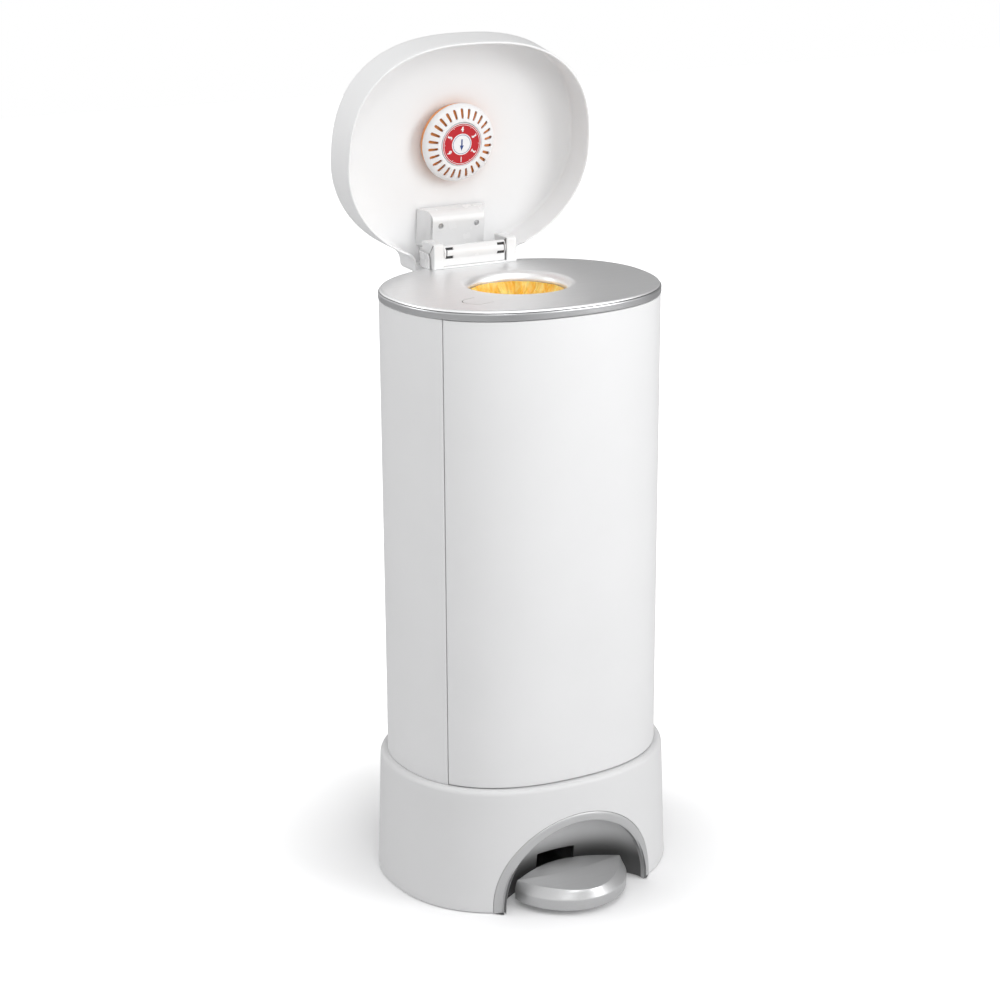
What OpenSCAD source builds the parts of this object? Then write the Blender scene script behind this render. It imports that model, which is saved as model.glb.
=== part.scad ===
// Pedal-operated nappy bin: oval body with a front door, silver deck with a film throat,
// hinged lid with a deodoriser, and a foot pedal that works the lid through a push rod.
// Millimetres, +Z up, front at -Y. The bin stands on Z = 0.

/* [Body] */
// Half width of the oval body
half_w = 147; // [140:0.5:155]
// Depth of the front half of the oval
front_d = 128.5; // [122:0.5:136]
// Depth of the rear half of the oval
rear_d = 117.5; // [112:0.5:124]
// Squareness of the front half of the oval
front_power = 2.36; // [2.1:0.01:2.6]
// Squareness of the rear half of the oval
rear_power = 2.03; // [2:0.01:2.2]
// Wall of the body shell and the door
wall = 2.5; // [2:0.1:3.5]
// Height of the silver deck above the floor
deck_z = 644; // [560:1:700]
// Side position of the door's opening edge
door_edge_x = -125; // [-130:0.5:-112]
// Depth position of the door's hinge pins
door_pin_y = -40; // [-46:0.5:-32]
// Radius of the door's hinge pins
door_pin_r = 2; // [1.5:0.1:2.4]

/* [Base] */
// Height of the base shell
base_h = 137; // [125:1:150]
// How far the base stands out past the body at its top
base_proud = 8; // [6:0.5:11]
// How much wider the base is at the floor than at its top, each side
base_flare = 4.7; // [2:0.1:6]
// Wall of the base shell
base_wall = 3; // [2.5:0.1:4]
// Radius of the pedal arch
arch_r = 95.5; // [90:0.5:100]
// Height of the centre of the pedal arch
arch_z = 6; // [4:0.5:8]
// Width of the silver bezel round the arch
bezel_w = 10.5; // [8:0.5:13]
// Radius of the rubber feet
foot_r = 10; // [7:0.5:14]

/* [Pedal] */
// Half width of the pedal pad
pad_half_w = 65.5; // [60:0.5:66]
// Depth of the pad in front of its widest line
pad_front = 58; // [54:1:60]
// Depth of the pad behind its widest line
pad_back = 23; // [20:0.5:23]
// Depth position of the pad's widest line
pad_y = -114; // [-116:1:-112]
// Height of the pad's top face when it is trodden down
pad_top = 28; // [27:0.5:28.5]
// Width of the lever bar
lever_w = 36; // [28:1:40]
// Radius of the lever's pivot shaft
shaft_r = 4; // [3:0.1:5]
// Depth position of the lever's pivot shaft
shaft_y = 25; // [15:1:35]
// Radius of the push rod
rod_r = 3; // [2.5:0.1:4]

/* [Deck] */
// Height of the silver rim band
rim_h = 10.4; // [8:0.2:13]
// Radius of the rounded dish round the hole, at the deck
dish_r = 57.5; // [54:0.5:60]
// Radius of the hole
hole_r = 47.5; // [44:0.5:50]
// Depth position of the hole's centre
hole_y = -6; // [-10:0.5:0]
// Depth of the rounded dish
dish_h = 9; // [7:0.5:11]

/* [Lid] */
// Height of the lid's side wall
skirt_h = 44; // [42:0.5:46]
// Rise of the lid's crown above its side wall
crown_h = 5; // [4:0.5:8]
// Wall of the lid
lid_wall = 2.5; // [2:0.1:3.2]
// Half width of the lid at its lip
lid_half_w = 142.6; // [141:0.2:144]
// Depth of the lid in front of its middle, at its lip
lid_front_d = 122.4; // [120:0.2:124]
// Squareness of the lid's front half
lid_front_power = 2.52; // [2.4:0.02:2.6]
// How far the lid sits behind the deck's centre
lid_back = 7; // [5:0.5:8]
// Opening angle of the lid
open_angle = 83; // [80:1:84]
// Depth position of the lid's hinge pin
pin_y = 116; // [115:0.5:117]
// Height of the lid's hinge pin above the deck
pin_up = 6; // [5.5:0.5:6.5]
// Radius of the lid's hinge pin
pin_r = 2.5; // [2:0.1:3]
// Half width of the hinge barrel
barrel_half = 36.8; // [32:0.2:38]
// Width of each hinge ear
ear_w = 11.7; // [9:0.1:13]

/* [Deodoriser] */
// Radius of the deodoriser's cover
deo_r = 41; // [36:0.5:44]
// Depth position of the deodoriser in the closed lid
deo_y = -1.5; // [-4:0.5:1]
// Number of vent slots in the cover
vent_count = 26; // [18:1:30]

/* [Refill] */
// Outer radius of the refill cartridge
cart_r = 72; // [68:0.5:73]
// Height of the refill cartridge
cart_h = 39; // [30:1:40]
// Half width of the hanging liner film
film_half_w = 75; // [55:1:85]
// Length of the hanging liner film below the trap doors
film_drop = 310; // [200:5:380]

/* [Hidden] */

seg = 96;          // sides of the oval outline
fit = 0.3;         // gap between fixed pieces that face each other
run = 0.06;        // running clearance of a pin in its bore
eps = 0.5;         // overshoot of a cut past a face

rim_z = deck_z - rim_h;                 // underside of the rim band
shell_z = base_h + 0.2;                 // bottom of the body shell
frame_h = 14;                           // underside of the deck frame, below the deck
panel_h = 3;                            // thickness of the deck panel
floor_t = 3;                            // thickness of the base's and the bin's floor
floor_z = 5;                            // underside of the base floor
ledge_in = 8;                           // how far the base's top ledge reaches inward
scoop_r = arch_r - bezel_w;             // radius of the recess at its mouth
scoop_y = -130;                         // where the recess starts to close
scoop_d = 50;                           // depth of its rounded end
scoop_wall = 3;
pin_z = deck_z + pin_up;
lip_z = deck_z + 2;                     // lip of the closed lid
rear_lip_z = pin_z + 1.5;               // lip of its hood, which swings down behind the deck
shaft_z = 22;
arm_t = 5;
arm_z = 9;                              // underside of the lever's front bar
rear_arm_z = 26;                        // underside of the lever's rear bar
rod_y = 105;
slot_top = 37;                          // top of the slot that the lever swings in
nose_r = 2.5;                           // radius of the lifting nose on the hinge block
nose_arm = 10.5;                        // distance of the nose from the hinge pin
nose_z = pin_z + nose_arm * sin(open_angle / 2);
rod_top = nose_z - nose_r - 0.4;
rod_bottom = rear_arm_z + arm_t + 0.55; // its foot clears the tilted bar at both ends of the travel
ear_in = barrel_half + 0.7;
ear_out = ear_in + ear_w;
ear_h = 27;
ear_front = 92;
guard_front = 99.5;
guard_h = 16;
door_pin_x = half_w * pow(1 - pow(-door_pin_y / front_d, front_power), 1 / front_power) - 4.3;
barrel_r = 3.8;                         // radius of the door's hinge barrel
reach = 200;                            // half size of the blocks that cut right through
door_z = base_h + 1.2;
door_top = rim_z - 0.6;
barrel_top = deck_z - frame_h - 1;
pocket_z = door_top + 0.6;               // top of the pocket round the door's upper pin
door_cut_y = door_pin_y - 1.5;
shell_cut_y = door_pin_y + 4.8;
cart_z = deck_z - 61.7;                 // underside of the cartridge
cart_in = 50;
shelf_z = deck_z - 62;
housing_r = cart_r + 4;
flap_z = deck_z - 80;                   // height of the trap doors' pins
flap_x = 53;                            // side position of the trap doors' pins
flap_t = 3;
flap_half_d = 44;
flap_gap = 1.2;
flap_pin_r = 1.5;
flap_barrel_r = 3.6;
tab = [-80, -63];                       // centre of the release tab
tab_w = 26;
tab_turn = 198.9;                       // direction of the pusher, from +X
latch_z = deck_z - 25;                  // top of the pusher
latch_h = 6;
ramp_x = 4;                             // upper end of the pusher's ramp
pusher_end = 30;
cutter_z = deck_z - 150;
deo_z = deck_z + 31;                    // face of the deodoriser, lid closed
cup_h = 9;                              // depth of the deodoriser's cup
mount_z = deo_z + 4.4 + cup_h;
mount_top = lip_z + skirt_h + 0.96 * crown_h - lid_wall - 0.3;
top_rib_z = deck_z - 50;                // underside of the door's top rib, below the keeper

function bent(v, p) = sign(v) * pow(abs(v), p);
function oval_points(k) = [for (i = [0 : seg - 1]) oval_at(k, 360 * (i + 0.5) / seg)];

function oval_at(k, t) =
    let (p = sin(t) < 0 ? front_power : rear_power, d = sin(t) < 0 ? front_d : rear_d)
    [(half_w + k) * bent(cos(t), 2 / p), (d + k) * bent(sin(t), 2 / p)];
// The lid's outline, k outside its lip
function lid_points(k) = [
    for (i = [0 : seg - 1])
        let (t = 360 * (i + 0.5) / seg, p = sin(t) < 0 ? lid_front_power : rear_power)
        let (d = sin(t) < 0 ? lid_front_d : rear_d - 3)
        [(lid_half_w + k) * bent(cos(t), 2 / p), lid_back + (d + k) * bent(sin(t), 2 / p)]
];

// Solid through a stack of closed outlines, each [points, z]
module loft(stack) {
    n = len(stack[0][0]);
    m = len(stack);
    points = [for (s = stack) for (p = s[0]) [p[0], p[1], s[1]]];
    sides = [for (j = [0 : m - 2]) for (i = [0 : n - 1])
        [j * n + i, (j + 1) * n + i, (j + 1) * n + (i + 1) % n, j * n + (i + 1) % n]];
    bottom = [for (i = [0 : n - 1]) i];
    top = [for (i = [n - 1 : -1 : 0]) (m - 1) * n + i];
    polyhedron(points, concat(sides, [bottom, top]));
}
// Oval solid through levels of [offset, z]
module oval_loft(levels) loft([for (l = levels) [oval_points(l[0]), l[1]]]);
module oval(k) polygon(oval_points(k));
module oval_plate(k, z, h) translate([0, 0, z]) linear_extrude(h) oval(k);
module oval_ring(k_out, k_in, z, h)
    translate([0, 0, z]) linear_extrude(h) difference() { oval(k_out); oval(k_in); }
module bar_x(r, x0, x1, y, z)
    translate([x0, y, z]) rotate([0, 90, 0]) cylinder(h = x1 - x0, r = r, $fn = 48);
module bar_y(r, y0, y1, x, z)
    translate([x, y0, z]) rotate([-90, 0, 0]) cylinder(h = y1 - y0, r = r, $fn = 48);
module box(x0, x1, y0, y1, z0, z1) translate([x0, y0, z0]) cube([x1 - x0, y1 - y0, z1 - z0]);
module both_sides() { children(); mirror([1, 0, 0]) children(); }
// Swings what is drawn in the closed lid to where it stands open
module open_lid()
    translate([0, pin_y, pin_z]) rotate([-open_angle, 0, 0]) translate([0, -pin_y, -pin_z]) children();
// Solid of revolution about the arch's axis, drawn as [radius, depth]
module about_arch(points) translate([0, 0, arch_z]) rotate([-90, 0, 0])
    rotate_extrude($fn = 96) polygon(points);
// Coil spring along Z
module coil(r, wire, turns, height) {
    steps = 14;
    n = floor(turns * steps);
    sides = 6;
    rise = (height - 2 * wire) / n;
    points = [for (i = [0 : n], j = [0 : sides - 1]) let (t = 360 * i / steps, u = 360 * j / sides)
        [(r + wire * cos(u)) * cos(t), (r + wire * cos(u)) * sin(t), wire + rise * i + wire * sin(u)]];
    skin = [for (i = [0 : n - 1]) for (j = [0 : sides - 1])
        [i * sides + j, i * sides + (j + 1) % sides,
        (i + 1) * sides + (j + 1) % sides, (i + 1) * sides + j]];
    first = [for (j = [sides - 1 : -1 : 0]) j];
    last = [for (j = [0 : sides - 1]) n * sides + j];
    polyhedron(points, concat(skin, [first, last]));
}

// ---- Base ----
function base_k(z) = base_proud + base_flare * (1 - z / base_h);
module base_solid(k) {
    oval_loft([[base_k(1) + k, 1], [base_k(base_h - 9) + k, base_h - 9],
        [base_proud - 0.6 + k, base_h - 5], [base_proud - 2.2 + k, base_h - 2], [base_proud - 4.6 + k, base_h]]);
}
module base_shell() color("white") {
    difference() {
        base_solid(0);
        oval_loft([[base_k(0) - base_wall, 0], [base_k(base_h) - base_wall, base_h - floor_t]]);
        oval_plate(-ledge_in, base_h - 2 * floor_t, 3 * floor_t);
        bar_y(arch_r, -200, -60, 0, arch_z);
        box(-arch_r, arch_r, -200, -60, 0, arch_z);
    }
    difference() {
        oval_ring(base_k(0) - base_wall, 2, floor_z + floor_t, floor_t);
        box(-arch_r - 6, arch_r + 6, -200, -60, 0, 20);
        base_screw_holes(1.2);
    }
}
base_screw_places = [for (t = [22, 64, 116, 158, 202, 338]) oval_at(5.5, t)];
module base_screw_holes(r) for (p = base_screw_places)
    translate([p[0], p[1], 0]) cylinder(h = 20, r = r, $fn = 32);
module base_floor() color("gainsboro") difference() {
    oval_plate(base_k(floor_z) - base_wall - 0.5, floor_z, floor_t);
    box(-arch_r - 5, arch_r + 5, -200, scoop_y + scoop_d + scoop_wall + 1, 0, 20);
    base_screw_holes(1.7);
}
module base_screws() color("silver") for (p = base_screw_places) translate([p[0], p[1], 0]) {
    translate([0, 0, floor_z - 2]) cylinder(h = 2, r = 3.5, $fn = 32);
    translate([0, 0, floor_z]) cylinder(h = floor_t + floor_t, r = 1.2, $fn = 32);
}
foot_places = [[0, 0], [104, 66], [-104, 66], [118, -62], [-118, -62]];
module rubber_feet() color("dimgray") for (p = foot_places)
    translate([p[0], p[1], 0]) cylinder(h = floor_z, r = foot_r, $fn = 48);

// Concave silver recess with its bezel round the arch
scoop_steps = 10;
function scoop_profile(out) = [
    for (i = [0 : scoop_steps]) let (t = 90 * i / scoop_steps)
        [max(0, (scoop_r + out) * cos(t)), scoop_y + (scoop_d + out) * sin(t)]
];
module pedal_recess() color("silver") difference() {
    union() {
        intersection() {
            about_arch(concat([[0, -200], [scoop_r + scoop_wall, -200]], scoop_profile(scoop_wall)));
            base_solid(-base_wall);
        }
        intersection() {
            bar_y(arch_r - fit, -200, -60, 0, arch_z);
            difference() {
                base_solid(1);
                base_solid(-base_wall - 1);
            }
        }
    }
    about_arch(concat([[0, -250], [scoop_r, -250]], scoop_profile(0)));
    box(-lever_w / 2 - 5, lever_w / 2 + 5, -112, -70, 0, slot_top);
    box(-200, 200, -250, 0, -10, 1);
}

// ---- Pedal ----
module pivot_brackets() color("gainsboro") difference() {
    for (x = [-lever_w / 2 - 8, lever_w / 2 + 2])
        box(x, x + 6, shaft_y - 13, shaft_y + 13, floor_z + floor_t, shaft_z + 10);
    bar_x(shaft_r + run, -60, 60, shaft_y, shaft_z);
}
module pivot_shaft() color("silver")
    bar_x(shaft_r, -lever_w / 2 - 10, lever_w / 2 + 10, shaft_y, shaft_z);
// The pad's lens outline, drawn in at its tips, front and rear, with its front bent more or less
function pad_points(tip, front, rear, bend) = [
    for (i = [0 : 63]) let (t = 360 * (i + 0.5) / 64, v = sin(t))
        [(pad_half_w - tip) * cos(t),
        pad_y + (v < 0 ? (pad_front - front) * bent(v, bend) : (pad_back - rear) * bent(v, 2.2))]
];
module pedal_pad() color("silver") difference() {
    loft([[pad_points(2, 2, 2, 1.2), 6], [pad_points(0, 0, 0, 1.2), 8], [pad_points(0, 0, 0, 1.2), pad_top - 9],
        [pad_points(2.5, 4.3, 1.2, 1.95), pad_top]]);
    half = lever_w / 2 + 0.2;
    box(-half, half, pad_y - pad_front + 14, pad_y + pad_back + 5, 0, arm_z + arm_t);
}
module pedal_lever() color("silver") difference() {
    union() {
        box(-lever_w / 2, lever_w / 2, pad_y - pad_front + 15, shaft_y, arm_z, arm_z + arm_t);
        box(-lever_w / 2, lever_w / 2, shaft_y - 9, shaft_y, arm_z, rear_arm_z + arm_t);
        bar_x(9, -lever_w / 2, lever_w / 2, shaft_y, shaft_z);
        box(-lever_w / 4, lever_w / 4, shaft_y, rod_y + 6, rear_arm_z, rear_arm_z + arm_t);
    }
    bar_x(shaft_r + run, -60, 60, shaft_y, shaft_z);
}
module pedal_spring() color("silver")
    translate([0, 66, floor_z + floor_t]) coil(7, 0.9, 5, rear_arm_z - floor_z - floor_t - 0.3);
module push_rod() color("silver") translate([0, rod_y, rod_bottom + 4])
    cylinder(h = rod_top - 4 - rod_bottom - 4, r = rod_r, $fn = 48);
module rod_tip() color("white") difference() {
    box(-7, 7, rod_y - 4, rod_y + 5, rod_top - 8, rod_top);
    translate([0, rod_y, rod_top - 20]) cylinder(h = 16, r = rod_r, $fn = 48);
}
module rod_foot() color("white") difference() {
    translate([0, rod_y, rod_bottom]) {
        cylinder(h = 2.5, r1 = 1.5, r2 = 6, $fn = 48);
        translate([0, 0, 2.5]) cylinder(h = 9.5, r = 6, $fn = 48);
    }
    translate([0, rod_y, rod_bottom + 4]) cylinder(h = 20, r = rod_r, $fn = 48);
}
rod_guide_z = [210, 400, 540];
module rod_guides() color("gainsboro") intersection() {
    difference() {
        for (z = rod_guide_z) box(-11, 11, rod_y - 9, 130, z, z + 8);
        translate([0, rod_y, 0]) cylinder(h = deck_z, r = rod_r + 0.1, $fn = 48);
    }
    oval_plate(-wall, base_h, deck_z);
}
module rod_channel() color("gainsboro") intersection() {
    difference() {
        box(-13, 13, rod_y - 11, 130, base_h + 4.5, deck_z - 95);
        box(-11.3, 11.3, rod_y - 9.3, 140, 0, deck_z);
    }
    oval_plate(-wall - 0.2, base_h, deck_z);
}

// ---- Body ----
module door_region(gap) translate([door_edge_x + gap, -reach]) square([2 * reach, reach + door_cut_y]);
module body_shell() color("white") {
    difference() {
        oval_ring(0, -wall, shell_z, rim_z - 0.2 - shell_z);
        translate([door_edge_x - 0.5, -reach, 0]) cube([2 * reach, reach + shell_cut_y, deck_z]);
    }
    intersection() {
        translate([0, 0, base_h + 4]) linear_extrude(deck_z - frame_h - base_h - 5) difference() {
            oval(-wall - 0.3);
            oval(-9);
        }
        box(door_edge_x - 7, door_edge_x + 7, -200, 0, 0, deck_z);
    }
    intersection() {
        oval_ring(-wall + eps, -9, base_h + 4, deck_z - frame_h - base_h - 5);
        box(door_edge_x - 7, door_edge_x - 0.5, -200, 0, 0, deck_z);
    }
}
module bin_floor() color("gainsboro") difference() {
    oval_plate(-wall - 0.5, base_h, floor_t);
    translate([0, rod_y, 0]) cylinder(h = deck_z, r = rod_r + 2, $fn = 48);
    translate([door_pin_x, door_pin_y, 0]) cylinder(h = deck_z, r = barrel_r + 1, $fn = 48);
}
module deck_frame() color("gainsboro") difference() {
    oval_plate(-wall - 0.4, deck_z - frame_h, frame_h - panel_h);
    translate([0, hole_y, 0]) cylinder(h = deck_z + 1, r = housing_r + fit, $fn = 96);
    bracket_screw_holes(1.2);
    translate([door_pin_x, door_pin_y, 0]) cylinder(h = pocket_z, r = barrel_r + 0.9, $fn = 48);
    box(-9, 9, rod_y - 6, rod_y + 7.5, 0, deck_z + 1);
    at_button() translate([-tab_w / 2 - 1, -tab_w / 2 - 1, 0]) cube([tab_w + 2, tab_w + 2, deck_z + 1]);
}
module deck_rim() color("silver") difference() {
    oval_loft([[0, rim_z], [0.6, rim_z + 1], [0.6, deck_z - 2.6], [-0.2, deck_z - panel_h]]);
    oval_plate(-wall - 0.3, rim_z - 1, rim_h + 5);
}
module tab_shape(k) union() {
    circle(r = tab_w / 2 + k, $fn = 48);
    translate([-tab_w / 2 - k, -tab_w / 2 - k]) square([tab_w / 2 + k, tab_w + 2 * k]);
}
lip_steps = 8;
module deck_panel() color("silver") {
    difference() {
        oval_loft([[-0.2, deck_z - panel_h], [-0.2, deck_z - 1.6], [-1, deck_z - 0.6], [-2, deck_z]]);
        translate([0, hole_y, 0]) cylinder(h = deck_z + 9, r = dish_r, $fn = 96);
        box(-9, 9, rod_y - 5, rod_y + 7, 0, deck_z + 9);
        at_button() translate([0, 0, deck_z - 9]) linear_extrude(20) tab_shape(0.4);
        bracket_screw_holes(1.2);
    }
    translate([0, hole_y, deck_z]) rotate_extrude($fn = 96) polygon(concat(
        [for (i = [0 : lip_steps]) let (t = 90 * i / lip_steps)
            [dish_r - (dish_r - hole_r) * sin(t), -dish_h * (1 - cos(t))]],
        [[hole_r, -16], [hole_r + 1.6, -16]],
        [for (i = [lip_steps : -1 : 0]) let (t = 90 * i / lip_steps)
            [dish_r - (dish_r - hole_r - 1.6) * sin(t), -1.6 - dish_h * (1 - cos(t))]],
        [[dish_r, -panel_h], [dish_r + 0.01, -panel_h], [dish_r + 0.01, 0]]));
}

// ---- Door release ----
// Places what is drawn along the pusher's travel at the button
module at_button() translate([tab[0], tab[1], 0]) rotate(tab_turn) children();
// Bar with its outline drawn along the travel and in Z
module button_bar(w, points)
    translate([0, w / 2, 0]) rotate([90, 0, 0]) linear_extrude(w) polygon(points);
module release_button() color("silver") at_button() {
    translate([0, 0, deck_z - panel_h]) linear_extrude(panel_h) tab_shape(0);
    button_bar(8, [[-12, latch_z - 7], [-11, latch_z - 7], [ramp_x - 0.7, latch_z],
        [ramp_x - 0.7, deck_z - panel_h], [-12, deck_z - panel_h]]);
}
module hook_pusher() color("white") at_button()
    button_bar(10, [[ramp_x - 2 * latch_h, latch_z - latch_h], [pusher_end, latch_z - latch_h],
        [pusher_end, latch_z], [ramp_x, latch_z]]);
module pusher_guide() color("gainsboro") at_button() difference() {
    translate([12, -9, latch_z - latch_h - 3]) cube([8, 18, deck_z - frame_h - latch_z + latch_h + 3]);
    translate([0, -5.1, latch_z - latch_h - 0.2]) cube([40, 10.2, latch_h + 0.4]);
}

// ---- Throat, refill and trap doors ----
module throat_housing() color("gainsboro") translate([0, hole_y, 0]) difference() {
    translate([0, 0, shelf_z - 3]) cylinder(h = deck_z - panel_h - shelf_z + 3, r = housing_r, $fn = 96);
    translate([0, 0, shelf_z]) cylinder(h = 90, r = housing_r - 2.5, $fn = 96);
    translate([0, 0, shelf_z - 10]) cylinder(h = 20, r = 44.5, $fn = 96);
    box(-housing_r, housing_r, -housing_r - 5, -20, shelf_z + eps - 0.5, deck_z - frame_h);
}
module refill_cartridge() color("white") translate([0, hole_y, cart_z]) difference() {
    cylinder(h = cart_h, r = cart_r, $fn = 96);
    translate([0, 0, 2]) cylinder(h = cart_h - 2, r = cart_r - 2, $fn = 96);
    translate([0, 0, -1]) cylinder(h = cart_h + 2, r = cart_in, $fn = 96);
}
module film_pack() color("orange") translate([0, hole_y, cart_z + 2 + fit]) difference() {
    cylinder(h = cart_h - 6, r = cart_r - 2 - fit, $fn = 96);
    translate([0, 0, -1]) cylinder(h = cart_h, r = cart_in + 0.5, $fn = 96);
}
function film_ring(a, b) = [for (i = [0 : 47]) let (t = 360 * (i + 0.5) / 48)
    [a * cos(t), hole_y + b * sin(t)]];
film_t = 0.8;
module liner_film() color("orange") {
    w = film_half_w;
    collar = hole_r - fit;
    difference() {
        loft([[film_ring(8, 10), flap_z - film_drop], [film_ring(20, 0.6 * w), flap_z - film_drop + 14],
            [film_ring(30, 0.94 * w), flap_z - film_drop + 50],
            [film_ring(32, w), flap_z - film_drop + 120],
            [film_ring(26, 0.9 * w), flap_z - 90], [film_ring(12, 50), flap_z - 52],
            [film_ring(4, 43), flap_z - 30], [film_ring(0.6, 42), flap_z - 16],
            [film_ring(0.6, 42), flap_z + 4.5], [film_ring(4.6, 42.5), flap_z + 9],
            [film_ring(13, 43), shelf_z], [film_ring(32, 45), deck_z - 40],
            [film_ring(43, 46), deck_z - 26],
            [film_ring(collar, collar), deck_z - 17], [film_ring(collar, collar), deck_z - 9.6]]);
        loft([[film_ring(0.2, 40), flap_z + 6.5], [film_ring(3.6, 41.5), flap_z + 9.4],
            [film_ring(13 - film_t, 43 - film_t), shelf_z],
            [film_ring(32 - film_t, 45 - film_t), deck_z - 40],
            [film_ring(43 - film_t, 46 - film_t), deck_z - 26],
            [film_ring(collar - film_t - 0.2, collar - film_t - 0.2), deck_z - 17],
            [film_ring(collar - film_t + 0.1, collar - film_t + 0.1), deck_z - 8.6]]);
    }
}
module flap_frame() color("gainsboro") translate([0, hole_y, 0]) difference() {
    box(-flap_x - 12, flap_x + 12, -flap_half_d - 11, flap_half_d + 11, flap_z - 9, shelf_z - 3);
    box(-flap_x - 6, flap_x + 6, -flap_half_d - 3, flap_half_d + 3, flap_z - 30, shelf_z);
    for (x = [-flap_x, flap_x]) bar_y(flap_pin_r + run, -80, 80, x, flap_z);
}
module flap(side) translate([0, hole_y, 0]) difference() {
    union() {
        bar_y(flap_barrel_r, -flap_half_d, flap_half_d - 8, side * flap_x, flap_z);
        mirror([side > 0 ? 0 : 1, 0, 0])
            box(flap_gap, flap_x, -flap_half_d, flap_half_d, flap_z - flap_t / 2, flap_z + flap_t / 2);
    }
    bar_y(flap_pin_r + run, -80, 80, side * flap_x, flap_z);
    box(side * flap_x - 5, side * flap_x + 5, flap_half_d - 8, flap_half_d + 1, flap_z - 8, flap_z + 8);
}
module flap_left() color("white") flap(-1);
module flap_right() color("white") flap(1);
module flap_lip(side) translate([0, hole_y, 0]) mirror([side < 0 ? 1 : 0, 0, 0])
    translate([0, 0, flap_z + flap_t / 2])
        box(flap_gap, flap_gap + 5, -flap_half_d + 2, flap_half_d - 2, 0, 2);
module flap_lip_left() color("dimgray") flap_lip(-1);
module flap_lip_right() color("dimgray") flap_lip(1);
module flap_pins() color("silver") translate([0, hole_y, 0]) for (x = [-flap_x, flap_x])
    bar_y(flap_pin_r, -flap_half_d - 11, flap_half_d + 11, x, flap_z);
module flap_springs() color("silver") translate([0, hole_y, 0]) for (x = [-flap_x, flap_x])
    translate([x, flap_half_d - 7.5, flap_z]) rotate([-90, 0, 0]) coil(2.6, 0.5, 4, 7);

// ---- Lid hinge on the deck ----
bracket_screw_places = [[-43, 100], [43, 100]];
module bracket_screw_holes(r) for (p = bracket_screw_places)
    translate([p[0], p[1], deck_z - 9]) cylinder(h = 12, r = r, $fn = 32);
module hinge_bracket() color("white") difference() {
    union() {
        box(-ear_out, ear_out, ear_front, 108, deck_z, deck_z + 2.5);
        both_sides() translate([ear_in, 0, deck_z]) rotate([90, 0, 90]) linear_extrude(ear_w) {
            translate([ear_front + 3, 0]) square([pin_y + 5 - ear_front - 3, ear_h]);
            translate([ear_front, 0]) square([3, ear_h - 3]);
            translate([ear_front + 3, ear_h - 3]) circle(r = 3, $fn = 32);
        }
    }
    box(-9, 9, rod_y - 5, 120, deck_z - 5, deck_z + 9);
    bar_x(pin_r + run, -ear_out - 1, ear_out + 1, pin_y, pin_z);
    bracket_screw_holes(1.2);
}
module hinge_cover() color("white") difference() {
    union() {
        box(-ear_in + 0.4, ear_in - 1.6, 94, 97, deck_z + 2.5, deck_z + 24.5);
        intersection() {
            bar_x(6, -ear_in + 0.4, ear_in - 1.6, 97, deck_z + 17);
            box(-60, 60, 80, 97, deck_z, deck_z + 40);
        }
    }
    for (z = [11.5, 20.5]) both_sides() box(ear_in - 9, ear_in, 80, 99, deck_z + z, deck_z + z + 1.6);
}
module hinge_guards() color("white") both_sides() difference() {
    box(ear_out + 0.9, ear_out + 2.7, guard_front, pin_y + 5, deck_z, deck_z + guard_h);
    translate([ear_out, guard_front + 6, deck_z + guard_h - 6]) rotate([0, 90, 0]) difference() {
        translate([-7, -7, 0]) cube([7, 7, 9]);
        translate([0, 0, -1]) cylinder(h = 11, r = 6, $fn = 48);
    }
}
module hinge_pin() color("silver") bar_x(pin_r, -ear_out + 0.5, ear_out - 0.5, pin_y, pin_z);
module bracket_screws() color("silver") for (p = bracket_screw_places)
    translate([p[0], p[1], deck_z - 7]) cylinder(h = 9, r = 1.2, $fn = 32);

// ---- Lid, drawn closed and swung open ----
module lid_solid(k, dz) {
    edge = lip_z + skirt_h - dz;
    c = crown_h;
    loft([for (l = [[0, lip_z - (dz > 0 ? eps : 0)], [2.2, edge - 6], [1.9, edge - 4], [0.6, edge - 1.6],
        [-2.4, edge], [-12, edge + 0.26 * c], [-34, edge + 0.6 * c], [-66, edge + 0.88 * c],
        [-105, edge + c]])
        [lid_points(k + l[0]), l[1]]]);
}
hood_half = 58.5;
hood_y = 131;
module hood_shape(k) offset(r = -12) offset(delta = 12) {
    polygon(lid_points(k));
    translate([-hood_half - k, 60]) square([2 * (hood_half + k), hood_y + k - 60]);
}
module hood_solid(k, dz) intersection() {
    union() {
        translate([0, 0, lip_z - (dz > 0 ? eps : 0)])
            linear_extrude(skirt_h - 3 - dz + (dz > 0 ? eps : 0)) hood_shape(k);
        translate([0, 0, lip_z + skirt_h - 3 - dz - eps]) linear_extrude(3 + eps) hood_shape(k - 2);
    }
    box(-90, 90, 60, 200, 0, 2 * deck_z);
}
module lid_shell() color("white") open_lid() difference() {
    union() {
        lid_solid(0, 0);
        hood_solid(0, 0);
    }
    lid_solid(-lid_wall, lid_wall);
    hood_solid(-lid_wall, lid_wall);
    box(-reach, reach, pin_y - 5, reach, lip_z - 1, rear_lip_z);
}
block_half = 31;
block_top = lip_z + skirt_h - deck_z;
block_screw_x = 21.4;
block_screw_y = 86;
module block_profile() polygon([[71, block_top], [71, 30], [75, 25], [pin_y - 5, 25],
    [pin_y - 5, pin_up], [pin_y + 5, pin_up], [pin_y + 5, block_top]]);
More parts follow.
